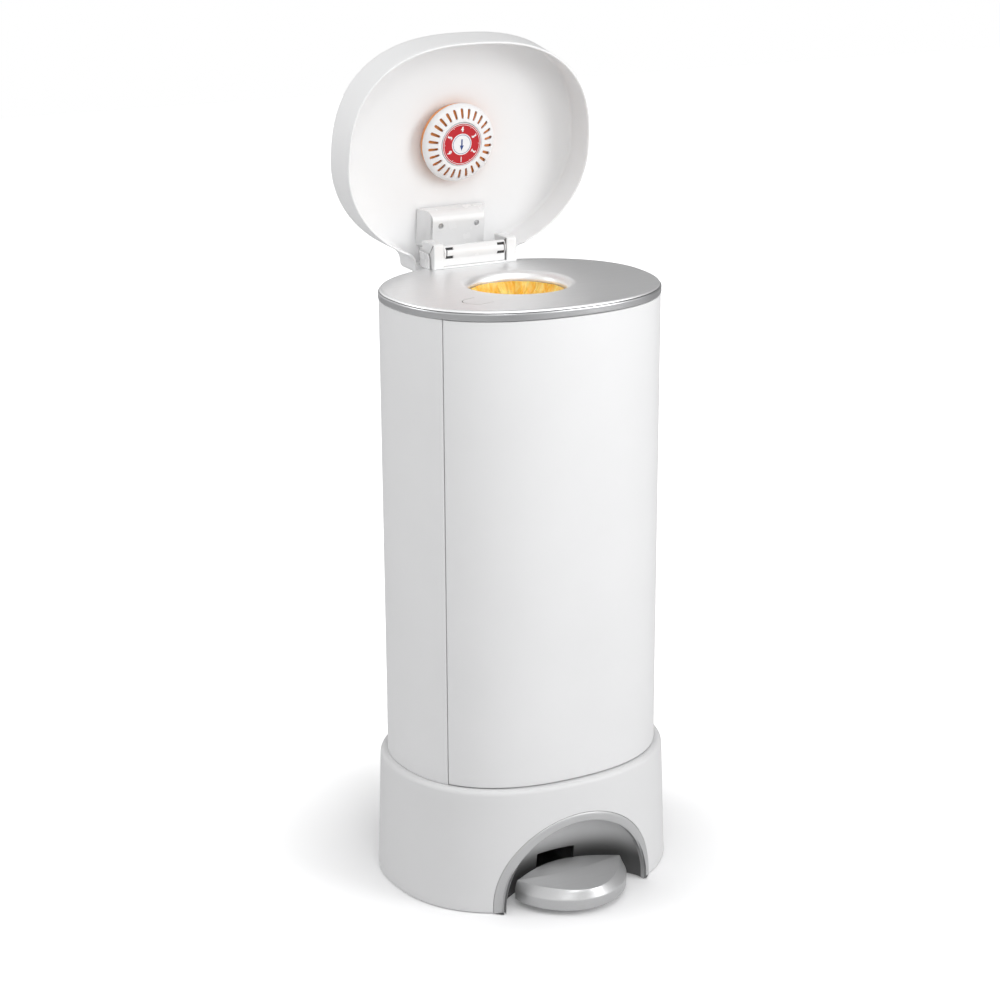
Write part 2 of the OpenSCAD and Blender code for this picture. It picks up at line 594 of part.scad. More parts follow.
module hinge_block() color("white") open_lid() {
    difference() {
        intersection() {
            union() {
                translate([-block_half, 0, deck_z]) rotate([90, 0, 90]) linear_extrude(2 * block_half)
                    intersection() { block_profile(); square([pin_y - 5, block_top]); }
                translate([-barrel_half, 0, deck_z]) rotate([90, 0, 90]) linear_extrude(2 * barrel_half)
                    intersection() { block_profile(); translate([pin_y - 8, 0]) square(block_top); }
            }
            union() {
                lid_solid(-lid_wall - 0.2, lid_wall + 0.2);
                hood_solid(-lid_wall - 0.2, lid_wall + 0.2);
            }
        }
        bar_x(pin_r + run, -60, 60, pin_y, pin_z);
        for (x = [-block_screw_x, block_screw_x]) translate([x, block_screw_y, deck_z + 24]) {
            cylinder(h = 4, r = 3.2, $fn = 32);
            cylinder(h = 12, r = 1.3, $fn = 32);
        }
    }
    difference() {
        bar_x(5, -barrel_half, barrel_half, pin_y, pin_z);
        bar_x(pin_r + run, -60, 60, pin_y, pin_z);
    }
    closed_nose();
}
// The nose that the push rod lifts
module closed_nose() {
    a = 180 + open_angle / 2;
    translate([0, pin_y, pin_z]) {
        rotate([a, 0, 0]) translate([-6, 4.6, -2.6]) cube([12, nose_arm - 4.6, 3]);
        rotate([a, 0, 0]) translate([-6, nose_arm, 0]) rotate([0, 90, 0])
            cylinder(h = 12, r = nose_r, $fn = 32);
    }
}
module block_screws() color("silver") open_lid() for (x = [-block_screw_x, block_screw_x])
    translate([x, block_screw_y, deck_z + 26.6]) {
        cylinder(h = 1.4, r = 2.9, $fn = 32);
        cylinder(h = 8, r = 1.3, $fn = 32);
    }
module deodoriser_mount() color("white") open_lid() translate([0, deo_y, 0]) difference() {
    translate([0, 0, mount_z]) cylinder(h = mount_top - mount_z, r = 24, $fn = 64);
    translate([0, 0, mount_z - 2]) cylinder(h = 4, r = 10.2, $fn = 48);
}
module deodoriser_cup() color("darkorange") open_lid() translate([0, deo_y, deo_z]) {
    difference() {
        translate([0, 0, 4.2]) cylinder(h = cup_h, r = deo_r - 1.5, $fn = 96);
        translate([0, 0, 3]) cylinder(h = cup_h - 1, r = deo_r - 3.5, $fn = 96);
    }
    translate([0, 0, 4.2 + cup_h]) cylinder(h = 2, r = 9.8, $fn = 48);
}
module deodoriser_pad() color("orange") open_lid() translate([0, deo_y, deo_z + 4.6])
    cylinder(h = cup_h - 2.8, r = deo_r - 4.2, $fn = 64);
module deodoriser_cover() color("white") open_lid() translate([0, deo_y, deo_z]) difference() {
    union() {
        translate([0, 0, 1.4]) cylinder(h = 2.6, r = deo_r, $fn = 96);
        translate([0, 0, 0.2]) cylinder(h = 1.2, r1 = deo_r - 2.4, r2 = deo_r, $fn = 96);
    }
    translate([0, 0, -1]) cylinder(h = 2.8, r = 20.7, $fn = 64);
    translate([0, 0, -1]) cylinder(h = 9, r = 3.06, $fn = 32);
    for (i = [0 : vent_count - 1]) rotate(360 * i / vent_count)
        translate([0.7 * deo_r, -1.4, -1]) cube([0.19 * deo_r, 2.8, 9]);
}
module deodoriser_dial() color("crimson") open_lid() translate([0, deo_y, deo_z]) {
    cylinder(h = 1.5, r = 20.4, $fn = 64);
    translate([0, 0, 1]) cylinder(h = 3.2, r = 3, $fn = 32);
}

// ---- Door ----
module door_panel() color("white") difference() {
    translate([0, 0, door_z]) linear_extrude(door_top - door_z) intersection() {
        difference() { oval(0); oval(-wall); }
        door_region(0);
    }
    translate([door_pin_x, door_pin_y, 0]) cylinder(h = deck_z, r = barrel_r + 0.3, $fn = 48);
}
module door_ribs() color("gainsboro") difference() {
    union() {
        for (z = [base_h + 8, (base_h + deck_z) / 2, top_rib_z])
            translate([0, 0, z]) linear_extrude(5) intersection() {
                difference() { oval(-wall); oval(-wall - 6); }
                translate([door_edge_x + 9, -reach]) square([2 * reach, reach + door_pin_y - 5]);
            }
        intersection() {
            oval_ring(-wall, -wall - 4, base_h + 8, top_rib_z + 5 - base_h - 8);
            union() {
                box(door_edge_x + 9, door_edge_x + 13, -200, -60, 0, deck_z);
                box(100, 200, door_pin_y - 24, door_pin_y - 5, 0, deck_z);
            }
        }
    }
    box(12, 78, -200, -60, cutter_z - 1, cutter_z + 41);
}
module door_barrel() color("white") difference() {
    union() {
        translate([door_pin_x, door_pin_y, door_z])
            cylinder(h = barrel_top - door_z, r = barrel_r, $fn = 48);
        intersection() {
            oval_ring(-wall - 0.05, -wall - 2.6, door_z + 12, barrel_top - door_z - 24);
            box(100, 200, door_pin_y - 4.9, door_pin_y, 0, deck_z);
        }
    }
    for (z = [door_z - 1, barrel_top - 28]) translate([door_pin_x, door_pin_y, z])
        cylinder(h = 29, r = door_pin_r + run, $fn = 32);
}
module door_pins() color("silver") translate([door_pin_x, door_pin_y, 0]) {
    translate([0, 0, base_h]) cylinder(h = 28, r = door_pin_r, $fn = 32);
    translate([0, 0, barrel_top - 27])
        cylinder(h = pocket_z - barrel_top + 27, r = door_pin_r, $fn = 32);
}
module door_keeper() color("gainsboro") intersection() {
    at_button() difference() {
        translate([pusher_end + 1, -9, latch_z - 11]) cube([8, 50, 16]);
        translate([pusher_end, -5.5, latch_z - latch_h - 0.5]) cube([10, 11, latch_h + 1]);
    }
    linear_extrude(deck_z) intersection() {
        oval(-wall);
        door_region(9);
    }
}
module film_cutter() color("white") difference() {
    intersection() {
        box(14, 76, -200, -108, cutter_z, cutter_z + 40);
        oval_plate(-wall, 0, deck_z);
    }
    box(20, 80, -130, -113, cutter_z + 16, cutter_z + 24);
}
module cutter_blade() color("silver") box(40, 52, -119, -118.2, cutter_z + 16, cutter_z + 24);

base_shell();
base_floor();
base_screws();
rubber_feet();
pedal_recess();
pivot_brackets();
pivot_shaft();
pedal_pad();
pedal_lever();
pedal_spring();
push_rod();
rod_tip();
rod_foot();
rod_guides();
rod_channel();
body_shell();
bin_floor();
deck_frame();
deck_rim();
deck_panel();
release_button();
hook_pusher();
pusher_guide();
throat_housing();
refill_cartridge();
film_pack();
liner_film();
flap_frame();
flap_left();
flap_right();
flap_lip_left();
flap_lip_right();
flap_pins();
flap_springs();
hinge_bracket();
hinge_cover();
hinge_guards();
hinge_pin();
bracket_screws();
lid_shell();
hinge_block();
block_screws();
deodoriser_mount();
deodoriser_cup();
deodoriser_pad();
deodoriser_cover();
deodoriser_dial();
door_panel();
door_ribs();
door_barrel();
door_pins();
door_keeper();
film_cutter();
cutter_blade();
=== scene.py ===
"""Looks of a pedal-operated nappy bin: smooth shells, gathered film and materials round its frame."""
import math

import bmesh
import bpy
from mathutils import Matrix, Vector


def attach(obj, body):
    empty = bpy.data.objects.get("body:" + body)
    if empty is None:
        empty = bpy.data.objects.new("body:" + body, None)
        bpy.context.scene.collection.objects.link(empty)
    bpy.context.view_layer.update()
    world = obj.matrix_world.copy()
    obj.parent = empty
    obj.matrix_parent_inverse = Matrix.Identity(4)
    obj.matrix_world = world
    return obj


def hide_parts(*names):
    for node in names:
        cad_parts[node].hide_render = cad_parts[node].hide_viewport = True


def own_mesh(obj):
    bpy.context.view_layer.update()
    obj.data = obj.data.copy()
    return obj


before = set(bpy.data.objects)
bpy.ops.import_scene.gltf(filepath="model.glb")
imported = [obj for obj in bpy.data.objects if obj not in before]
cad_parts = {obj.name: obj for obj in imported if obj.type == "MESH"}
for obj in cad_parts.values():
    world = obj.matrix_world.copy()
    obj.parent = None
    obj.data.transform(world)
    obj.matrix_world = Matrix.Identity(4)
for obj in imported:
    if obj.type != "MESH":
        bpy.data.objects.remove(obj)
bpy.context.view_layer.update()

MM = 0.001

# ---- Driving sizes, in millimetres ----
HALF_W = 147.0          # half width of the oval body
FRONT_D, REAR_D = 128.5, 117.5
FRONT_POWER, REAR_POWER = 2.36, 2.03
WALL = 2.5
DECK_Z = 644.0          # top of the silver deck
RIM_Z = 633.6           # underside of its rim band
BASE_H = 137.0
BASE_PROUD, BASE_FLARE, BASE_WALL = 8.0, 4.7, 3.0
SEAM_X = -125.0         # the door's opening edge
DOOR_CUT_Y, SHELL_CUT_Y = -41.5, -35.2
ARCH_R, ARCH_Z, BEZEL_W = 95.5, 6.0, 10.5
SCOOP_Y, SCOOP_D = -130.0, 50.0
PAD_HALF_W, PAD_FRONT, PAD_BACK, PAD_Y, PAD_TOP = 65.5, 58.0, 23.0, -114.0, 28.0
HOLE_Y, HOLE_R, DISH_R, DISH_H = -1.5, 51.0, 61.5, 9.0     # as in the picture, larger than the solids'
FILM_Y = -6.0           # middle of the trap and the cartridge, below the dish
PIN_Y, PIN_Z, OPEN_ANGLE = 116.0, 650.0, 83.0
LIP_Z, SKIRT_H, CROWN_H, LID_WALL = 646.0, 44.0, 5.0, 2.5
REAR_LIP_Z = PIN_Z + 1.5
LID_HALF_W, LID_FRONT_D, LID_REAR_D, LID_POWER, LID_BACK = 142.6, 122.4, 114.5, 2.52, 7.0
HOOD_HALF, HOOD_Y = 58.5, 131.0
DEO_R, DEO_Y, DEO_Z = 42.2, -1.5, 675.0
BARREL_HALF = 36.8
EAR_IN, EAR_OUT, EAR_H, EAR_FRONT = 37.5, 49.2, 27.0, 92.0


# ---- Outlines ----
def bent(v, p):
    return math.copysign(abs(v) ** p, v)


def oval_at(k, t):
    """Point of the body's oval, k outside it, at the angle t in degrees."""
    c, s = math.cos(math.radians(t)), math.sin(math.radians(t))
    power, depth = (FRONT_POWER, FRONT_D) if s < 0 else (REAR_POWER, REAR_D)
    return (HALF_W + k) * bent(c, 2 / power), (depth + k) * bent(s, 2 / power)


def oval_front(x, k):
    """Depth position of the oval's front at x, k outside the body."""
    return -(FRONT_D + k) * (1 - min(1, abs(x) / (HALF_W + k)) ** FRONT_POWER) ** (1 / FRONT_POWER)


def t_at_x(x):
    """Angle of the front half at which the oval k = 0 has this x."""
    return -math.degrees(math.acos(bent(x / HALF_W, FRONT_POWER / 2)))


def t_at_y(y):
    """Angle of the right front quarter at which the oval k = 0 has this y."""
    return -math.degrees(math.asin((-y / FRONT_D) ** (FRONT_POWER / 2)))


def base_k(z):
    return BASE_PROUD + BASE_FLARE * (1 - z / BASE_H)


def arc(cx, cy, r, a0, a1, n):
    return [(cx + r * math.cos(math.radians(a0 + (a1 - a0) * i / n)),
             cy + r * math.sin(math.radians(a0 + (a1 - a0) * i / n))) for i in range(n + 1)]


def circle(cx, cy, r, n=32):
    return arc(cx, cy, r, 0, 360 * (n - 1) / n, n - 1)


def rounded_rect(x0, x1, y0, y1, r):
    n = 3
    return (arc(x1 - r, y0 + r, r, -90, 0, n) + arc(x1 - r, y1 - r, r, 0, 90, n)
            + arc(x0 + r, y1 - r, r, 90, 180, n) + arc(x0 + r, y0 + r, r, 180, 270, n))


# ---- Mesh helpers ----
def smooth(obj, angle=35):
    for p in obj.data.polygons:
        p.use_smooth = True
    obj.data.set_sharp_from_angle(angle=math.radians(angle))


def piece(name, verts, faces, material, body="root", nodes=(), angle=35, lid=False):
    """A mesh piece from points in millimetres, riding on its body."""
    mesh = bpy.data.meshes.new(name)
    mesh.from_pydata([Vector(v) * MM for v in verts], [], faces)
    bm = bmesh.new()
    bm.from_mesh(mesh)
    bmesh.ops.remove_doubles(bm, verts=bm.verts, dist=1e-6)
    bmesh.ops.recalc_face_normals(bm, faces=bm.faces)
    if lid:
        bm.transform(OPEN_LID)
    bm.to_mesh(mesh)
    bm.free()
    obj = bpy.data.objects.new(name, mesh)
    bpy.context.scene.collection.objects.link(obj)
    mesh.materials.append(material)
    smooth(obj, angle)
    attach(obj, body)
    if nodes:
        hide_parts(*nodes)
    return obj


def grid_faces(rows, cols, close_rows, close_cols):
    """Quads of a grid of rows x cols points."""
    out = []
    for i in range(rows if close_rows else rows - 1):
        for j in range(cols if close_cols else cols - 1):
            a, b = i * cols + j, i * cols + (j + 1) % cols
            c, d = ((i + 1) % rows) * cols + (j + 1) % cols, ((i + 1) % rows) * cols + j
            out.append((a, b, c, d))
    return out


def sweep(rings, closed):
    """Verts and faces of closed sections, joined one to the next."""
    n = len(rings[0])
    verts = [v for ring in rings for v in ring]
    faces = grid_faces(len(rings), n, closed, True)
    if not closed:
        faces.append(tuple(range(n))[::-1])
        faces.append(tuple(range((len(rings) - 1) * n, len(rings) * n)))
    return verts, faces


def revolve(profile, steps=96, centre=(0, 0, 0)):
    """Closed section in (radius, height), turned round Z."""
    rings = []
    for i in range(steps):
        c, s = math.cos(2 * math.pi * i / steps), math.sin(2 * math.pi * i / steps)
        rings.append([(centre[0] + r * c, centre[1] + r * s, centre[2] + z) for r, z in profile])
    return sweep(rings, True)


def prism(outline, z0, z1):
    n = len(outline)
    verts = [(x, y, z0) for x, y in outline] + [(x, y, z1) for x, y in outline]
    faces = [tuple(range(n))[::-1], tuple(range(n, 2 * n))]
    faces += [(i, (i + 1) % n, n + (i + 1) % n, n + i) for i in range(n)]
    return verts, faces


def turned(verts, order):
    """Points with their coordinates taken in another order, such as (2, 0, 1)."""
    return [(v[order[0]], v[order[1]], v[order[2]]) for v in verts]


def bevel(obj, width, segments=3, angle=30):
    mod = obj.modifiers.new("edge", "BEVEL")
    mod.width = width * MM
    mod.segments = segments
    mod.limit_method = "ANGLE"
    mod.angle_limit = math.radians(angle)
    mod.harden_normals = False
    apply_all(obj)
    smooth(obj, 40)
    obj.modifiers.new("even", "WEIGHTED_NORMAL").keep_sharp = True
    apply_all(obj)


def apply_all(obj):
    """Turns the evaluated mesh into the object's own."""
    graph = bpy.context.evaluated_depsgraph_get()
    new = bpy.data.meshes.new_from_object(obj.evaluated_get(graph))
    obj.modifiers.clear()
    obj.data = new


def cut(obj, cutters):
    """Cuts obj with (verts, faces) solids, in millimetres."""
    for verts, faces in cutters:
        mesh = bpy.data.meshes.new("cutter")
        mesh.from_pydata([Vector(v) * MM for v in verts], [], faces)
        bm = bmesh.new()
        bm.from_mesh(mesh)
        bmesh.ops.recalc_face_normals(bm, faces=bm.faces)
        bm.to_mesh(mesh)
        bm.free()
        tool = bpy.data.objects.new("cutter", mesh)
        bpy.context.scene.collection.objects.link(tool)
        mod = obj.modifiers.new("cut", "BOOLEAN")
        mod.operation = "DIFFERENCE"
        mod.solver = "EXACT"
        mod.object = tool
        apply_all(obj)
        bpy.data.objects.remove(tool)


def box_solid(x0, x1, y0, y1, z0, z1):
    return prism([(x0, y0), (x1, y0), (x1, y1), (x0, y1)], z0, z1)


OPEN_LID = (Matrix.Translation(Vector((0, PIN_Y, PIN_Z)) * MM)
            @ Matrix.Rotation(math.radians(-OPEN_ANGLE), 4, "X")
            @ Matrix.Translation(Vector((0, -PIN_Y, -PIN_Z)) * MM))


# ---- Materials ----
def ranged(tree, value, from_min, from_max, to_min, to_max, curve="LINEAR"):
    """A node output carried from one range to another."""
    node = tree.nodes.new("ShaderNodeMapRange")
    node.interpolation_type = curve
    node.inputs["From Min"].default_value = from_min
    node.inputs["From Max"].default_value = from_max
    node.inputs["To Min"].default_value = to_min
    node.inputs["To Max"].default_value = to_max
    tree.links.new(value, node.inputs["Value"])
    return node.outputs["Result"]


def joined(tree, operation, a, b):
    """Two node outputs joined by a Math node."""
    node = tree.nodes.new("ShaderNodeMath")
    node.operation = operation
    tree.links.new(a, node.inputs[0])
    tree.links.new(b, node.inputs[1])
    return node.outputs[0]


class Nodes:
    """A material's node tree, with the few nodes that the finishes share."""

    def __init__(self, name, color, rough, metal=0.0, coat=0.0):
        self.mat = bpy.data.materials.new(name)
        self.mat.use_nodes = True
        self.mat.diffuse_color = (*color, 1)
        self.tree = self.mat.node_tree
        self.shader = self.tree.nodes["Principled BSDF"]
        self.shader.inputs["Base Color"].default_value = (*color, 1)
        self.shader.inputs["Roughness"].default_value = rough
        self.shader.inputs["Metallic"].default_value = metal
        self.shader.inputs["IOR"].default_value = 1.46
        self.shader.inputs["Coat Weight"].default_value = coat
        self.shader.inputs["Coat Roughness"].default_value = 0.15

    def node(self, kind, **values):
        n = self.tree.nodes.new(kind)
        for key, value in values.items():
            if hasattr(n, key):
                setattr(n, key, value)
            else:
                n.inputs[key].default_value = value
        return n

    def link(self, a, b):
        self.tree.links.new(a, b)

    def place(self, scale=(1, 1, 1), rotation=(0, 0, 0)):
        """Object coordinates, in metres, scaled."""
        coord = self.node("ShaderNodeTexCoord")
        mapping = self.node("ShaderNodeMapping", Scale=scale, Rotation=rotation)
        self.link(coord.outputs["Object"], mapping.inputs["Vector"])
        return mapping.outputs["Vector"]

    def noise(self, vector, scale, detail=3.0, rough=0.5):
        n = self.node("ShaderNodeTexNoise", Scale=scale, Detail=detail, Roughness=rough)
        self.link(vector, n.inputs["Vector"])
        return n.outputs["Fac"]

    def ramp(self, fac, low, high, at=(0.3, 0.7)):
        n = self.node("ShaderNodeValToRGB")
        n.color_ramp.elements[0].position, n.color_ramp.elements[1].position = at
        n.color_ramp.elements[0].color = (*low, 1)
        n.color_ramp.elements[1].color = (*high, 1)
        self.link(fac, n.inputs["Fac"])
        return n.outputs["Color"]

    def spread(self, fac, low, high):
        return ranged(self.tree, fac, 0.0, 1.0, low, high)

    def bump(self, height, strength, distance):
        n = self.node("ShaderNodeBump", Strength=strength, Distance=distance)
        self.link(height, n.inputs["Height"])
        self.link(n.outputs["Normal"], self.shader.inputs["Normal"])

    def tint(self, output):
        self.link(output, self.shader.inputs["Base Color"])

    def roughen(self, output):
        self.link(output, self.shader.inputs["Roughness"])


def shade(color, factor):
    return tuple(c * factor for c in color)


def plastic(name, color, rough, grain=0.25, grain_scale=2600, mottle=0.012):
    """Moulded plastic: a fine spark-eroded grain, faint flow variation and uneven gloss."""
    m = Nodes(name, color, rough)
    at = m.place()
    flow = m.noise(at, 9, 4)
    m.tint(m.ramp(flow, shade(color, 1 - mottle), shade(color, 1 + mottle)))
    fine = m.noise(at, grain_scale, 2)
    m.roughen(m.spread(m.noise(at, 60, 3), rough - 0.04, rough + 0.05))
    m.bump(fine, grain, 0.00006)
    return m.mat


def brushed(name, color, rough, stretch=(6, 260, 260), metal=0.9):
    """Silver paint or metal with a fine brushed grain along X."""
    m = Nodes(name, color, rough, metal=metal)
    at = m.place(scale=stretch)
    lines = m.noise(at, 5, 5, 0.6)
    m.tint(m.ramp(lines, shade(color, 0.93), shade(color, 1.05), (0.25, 0.75)))
    m.roughen(m.spread(lines, rough - 0.07, rough + 0.09))
    m.bump(lines, 0.35, 0.00003)
    return m.mat


def banded(name, color, rough):
    """Satin metal strip with a fine grain. Its long patches of tone stand in for soft reflections."""
    m = Nodes(name, color, rough, metal=0.9)
    patches = m.noise(m.place(scale=(1, 1, 0.05), rotation=(0, 0, 2.4)), 9, 1.5, 0.4)
    grain = m.noise(m.place(scale=(30, 30, 900)), 5, 5, 0.6)
    m.tint(m.ramp(patches, shade(color, 0.68), shade(color, 1.22), (0.36, 0.64)))
    m.roughen(m.spread(grain, rough - 0.06, rough + 0.08))
    m.bump(grain, 0.3, 0.00003)
    return m.mat


def silver_paint(name, color, rough, metal):
    """Satin silver paint: tiny flakes over a smooth moulding."""
    m = Nodes(name, color, rough, metal=metal)
    at = m.place()
    flakes = m.noise(at, 4200, 2)
    m.tint(m.ramp(flakes, shade(color, 0.95), shade(color, 1.05), (0.35, 0.65)))
    m.roughen(m.spread(m.noise(at, 90, 3), rough - 0.04, rough + 0.05))
    m.bump(flakes, 0.12, 0.00003)
    return m.mat


def bowl_light_and_shade(name, color, rough, low, high):
    """Silver paint with painted shade: darker below the height high, where the bowl lies in shade, as it
    is in the picture.
    """
    m = Nodes(name, color, rough, metal=0.5)
    at = m.place()
    parts = m.node("ShaderNodeSeparateXYZ")
    m.link(at, parts.inputs["Vector"])
    # Painted shade: the colour falls to 0.16 of itself below the height low.
    rise = ranged(m.tree, parts.outputs["Z"], low * MM, high * MM, 0.0, 1.0, "SMOOTHSTEP")
    m.tint(m.ramp(rise, shade(color, 0.16), color, (0.0, 1.0)))
    m.roughen(m.spread(m.noise(at, 900, 2), rough - 0.05, rough + 0.06))
    m.bump(m.noise(at, 4200, 2), 0.2, 0.00002)
    return m.mat


def steel(name, color, rough):
    m = Nodes(name, color, rough, metal=1.0)
    at = m.place(scale=(900, 900, 40))
    lines = m.noise(at, 3, 4)
    m.tint(m.ramp(lines, shade(color, 0.86), shade(color, 1.08)))
    m.roughen(m.spread(lines, rough - 0.06, rough + 0.1))
    m.bump(lines, 0.2, 0.00003)
    return m.mat


def rubber(name, color):
    m = Nodes(name, color, 0.75)
    at = m.place()
    grain = m.noise(at, 1400, 4)
    m.tint(m.ramp(grain, shade(color, 0.8), shade(color, 1.25)))
    m.bump(grain, 0.5, 0.0001)
    return m.mat


def film_material(name, pale, deep):
    """Thin gathered film that light enters, with streaks of deeper orange along it: painted shade that
    stands in for its finer creases.
    """
    m = Nodes(name, pale, 0.34, coat=0.25)
    at = m.place()
    # Painted shade: darker orange streaks for the shade in the film's finer creases.
    streak = m.noise(m.place(scale=(1, 1, 0.14)), 130, 4, 0.6)
    m.tint(m.ramp(streak, deep, pale, (0.37, 0.68)))
    m.shader.inputs["Subsurface Weight"].default_value = 0.35
    m.shader.inputs["Subsurface Radius"].default_value = (1.0, 0.55, 0.12)
    m.shader.inputs["Subsurface Scale"].default_value = 0.004
    m.roughen(m.spread(m.noise(at, 220, 3), 0.26, 0.46))
    m.bump(m.noise(at, 420, 4), 0.45, 0.0005)
    return m.mat


WHITE = plastic("white_satin", (0.815, 0.816, 0.82), 0.42, 0.3)
BASE_WHITE = plastic("base_satin", (0.735, 0.736, 0.74), 0.42, 0.4, 1900)
LID_WHITE = plastic("lid_semi_gloss", (0.875, 0.876, 0.879), 0.33, 0.15)
HINGE_WHITE = plastic("hinge_gloss", (0.82, 0.821, 0.823), 0.26, 0.1)
INNER_GREY = plastic("inner_grey", (0.56, 0.565, 0.575), 0.5, 0.4, 1500)
CARTRIDGE = plastic("cartridge_white", (0.78, 0.78, 0.78), 0.4, 0.3)
DECK_SILVER = brushed("deck_silver", (0.83, 0.832, 0.836), 0.38, metal=0.85)
RIM_SILVER = banded("rim_silver", (0.41, 0.412, 0.418), 0.3)
RECESS_SILVER = silver_paint("recess_silver", (0.51, 0.512, 0.516), 0.36, metal=0.5)
# The bowl's silver is lighter than the bezel's: painted light on its upper part, with painted shade below.
BOWL_LIGHT_AND_SHADE = bowl_light_and_shade("bowl_painted_light_and_shade", (0.9, 0.902, 0.906), 0.4, 22, 60)
PEDAL_SILVER = brushed("pedal_silver", (0.53, 0.532, 0.536), 0.34, (5, 320, 320), metal=0.65)
STEEL = steel("plain_steel", (0.55, 0.55, 0.56), 0.28)
# Black rubber for the feet, the flap lips and the button's seal, and also the painted shade of the hinge
# cover's dark plates.
RUBBER_AND_SHADE = rubber("rubber_and_painted_shade", (0.045, 0.045, 0.047))
FILM = film_material("film_orange", (1.0, 0.82, 0.27), (0.95, 0.5, 0.01))
FILM_BLOCK = film_material("packed_film", (0.88, 0.5, 0.08), (0.8, 0.33, 0.02))
DEO_WHITE = plastic("deodoriser_white", (0.86, 0.86, 0.865), 0.3, 0.12)
DEO_ORANGE = plastic("deodoriser_orange", (0.9, 0.34, 0.10), 0.42, 0.25)
DIAL_RED = plastic("dial_red", (0.5, 0.004, 0.012), 0.42, 0.08)
DIAL_WHITE = plastic("dial_print_white", (0.85, 0.85, 0.86), 0.32, 0.05)
DIAL_BLUE = plastic("dial_print_blue", (0.015, 0.05, 0.22), 0.32, 0.05)
POWDER = plastic("powder_cake", (0.86, 0.30, 0.08), 0.8, 1.0, 700, mottle=0.1)


# ---- Body shell and door ----
def wall_section(t, z0, z1, k_out, k_in, r, squeeze=0.0):
    """Section of a standing wall at the angle t: a rectangle with rounded corners."""
    corners = rounded_rect(k_in + squeeze, k_out - squeeze, z0, z1, r)
    return [(*oval_at(k, t), z) for k, z in corners]


def wall(name, t0, t1, z0, z1, material, body, nodes, steps=220):
    """A stretch of the body's wall, with its free edges rounded off."""
    near, end = 0.08, 0.22
    ts = [t0, t0 + near, t0 + end] + [t0 + end + (t1 - t0 - 2 * end) * i / steps for i in range(1, steps)]
    ts += [t1 - end, t1 - near, t1]
    squeezes = [0.75, 0.2, 0.0] + [0.0] * (steps - 1) + [0.0, 0.2, 0.75]
    rings = [wall_section(t, z0, z1, 0.0, -WALL, 0.7, s) for t, s in zip(ts, squeezes)]
    verts, faces = sweep(rings, False)
    piece(name, verts, faces, material, body, nodes, angle=50)


def body_shell():
    """The back and left walls, with the jamb that the door closes on."""
    t0 = t_at_y(SHELL_CUT_Y)
    t1 = 360 + t_at_x(SEAM_X - 0.5)
    wall("body_wall", t0, t1, BASE_H + 0.2, RIM_Z - 0.2, WHITE, "root", ["body_shell"])
    jamb0, jamb1, steps = t_at_x(SEAM_X - 7), t_at_x(SEAM_X + 7), 8
    rings = []
    for i in range(steps + 1):
        t = jamb0 + (jamb1 - jamb0) * i / steps
        rings.append(wall_section(t, BASE_H + 4, DECK_Z - 15, -WALL - 0.3, -9, 0.6))
    verts, faces = sweep(rings, False)
    piece("door_jamb", verts, faces, WHITE)


def door():
    wall("door_skin", t_at_x(SEAM_X), t_at_y(DOOR_CUT_Y) - 0.5, BASE_H + 1.2, RIM_Z - 0.6, WHITE, "door",
         ["door_panel"])


# ---- Base ----
def base_section(t):
    """Section of the base at the angle t: the foot, the flared side, the rounded top and the inside."""
    top_r = 5.2
    lip_z = BASE_H - 0.02
    pts = [(base_k(1) - 1.2, 1.0), (base_k(2) - 0.3, 1.3), (base_k(3), 2.4)]
    pts += [(base_k(z), z) for z in (10, 40, 70, 100, 124, 130)]
    pts += arc(BASE_PROUD + 0.05 - top_r, BASE_H - top_r, top_r, 8, 88, 10)
    pts += [(BASE_PROUD - 5.6, lip_z), (-6, lip_z), (-7.6, BASE_H - 0.5), (-8, BASE_H - 1.5)]
    pts += [(-8, BASE_H - 3), (base_k(BASE_H) - BASE_WALL, BASE_H - 3)]
    pts += [(base_k(60) - BASE_WALL, 60), (base_k(1) - BASE_WALL, 1.0)]
    return [(*oval_at(k, t), z) for k, z in pts]


def cylinder_y(r, y0, y1, z, steps=160):
    """A cylinder lying along Y through x = 0 at the height z."""
    verts, faces = prism(circle(0, z, r, steps), y0, y1)
    return turned(verts, (0, 2, 1)), faces


def base():
    steps = 360
    front, behind = -220, -60
    verts, faces = sweep([base_section(360 * i / steps) for i in range(steps)], True)
    shell = piece("base_skin", verts, faces, BASE_WHITE, "root", ["base_shell"])
    cut(shell, [cylinder_y(ARCH_R, front, behind, ARCH_Z),
                box_solid(-ARCH_R, ARCH_R, front, behind, -5, ARCH_Z)])
    smooth(shell, 42)


def arch_stations():
    """Round the arch from one foot to the other, as (cosine, sine, height of the centre)."""
    steps = 120
    feet = [(1.0, 0.0, z) for z in (1.0, 2.6, 4.3)]
    angles = [math.pi * i / steps for i in range(steps + 1)]
    round_part = [(math.cos(a), math.sin(a), ARCH_Z) for a in angles]
    return feet + round_part + [(-c, s, z) for c, s, z in feet[::-1]]


# The bezel's section: distance from its outer or its inner edge, and how proud of the base
BEZEL_OUTSIDE = [(0, -BASE_WALL), (0, -0.4), (0.15, 0.35), (0.7, 0.8), (3.5, 0.95)]
BEZEL_INSIDE = [(3, 0.95), (1.1, 0.8), (0.4, 0.35), (0.1, -0.5), (-0.1, -2.2), (-0.6, -5.0)]


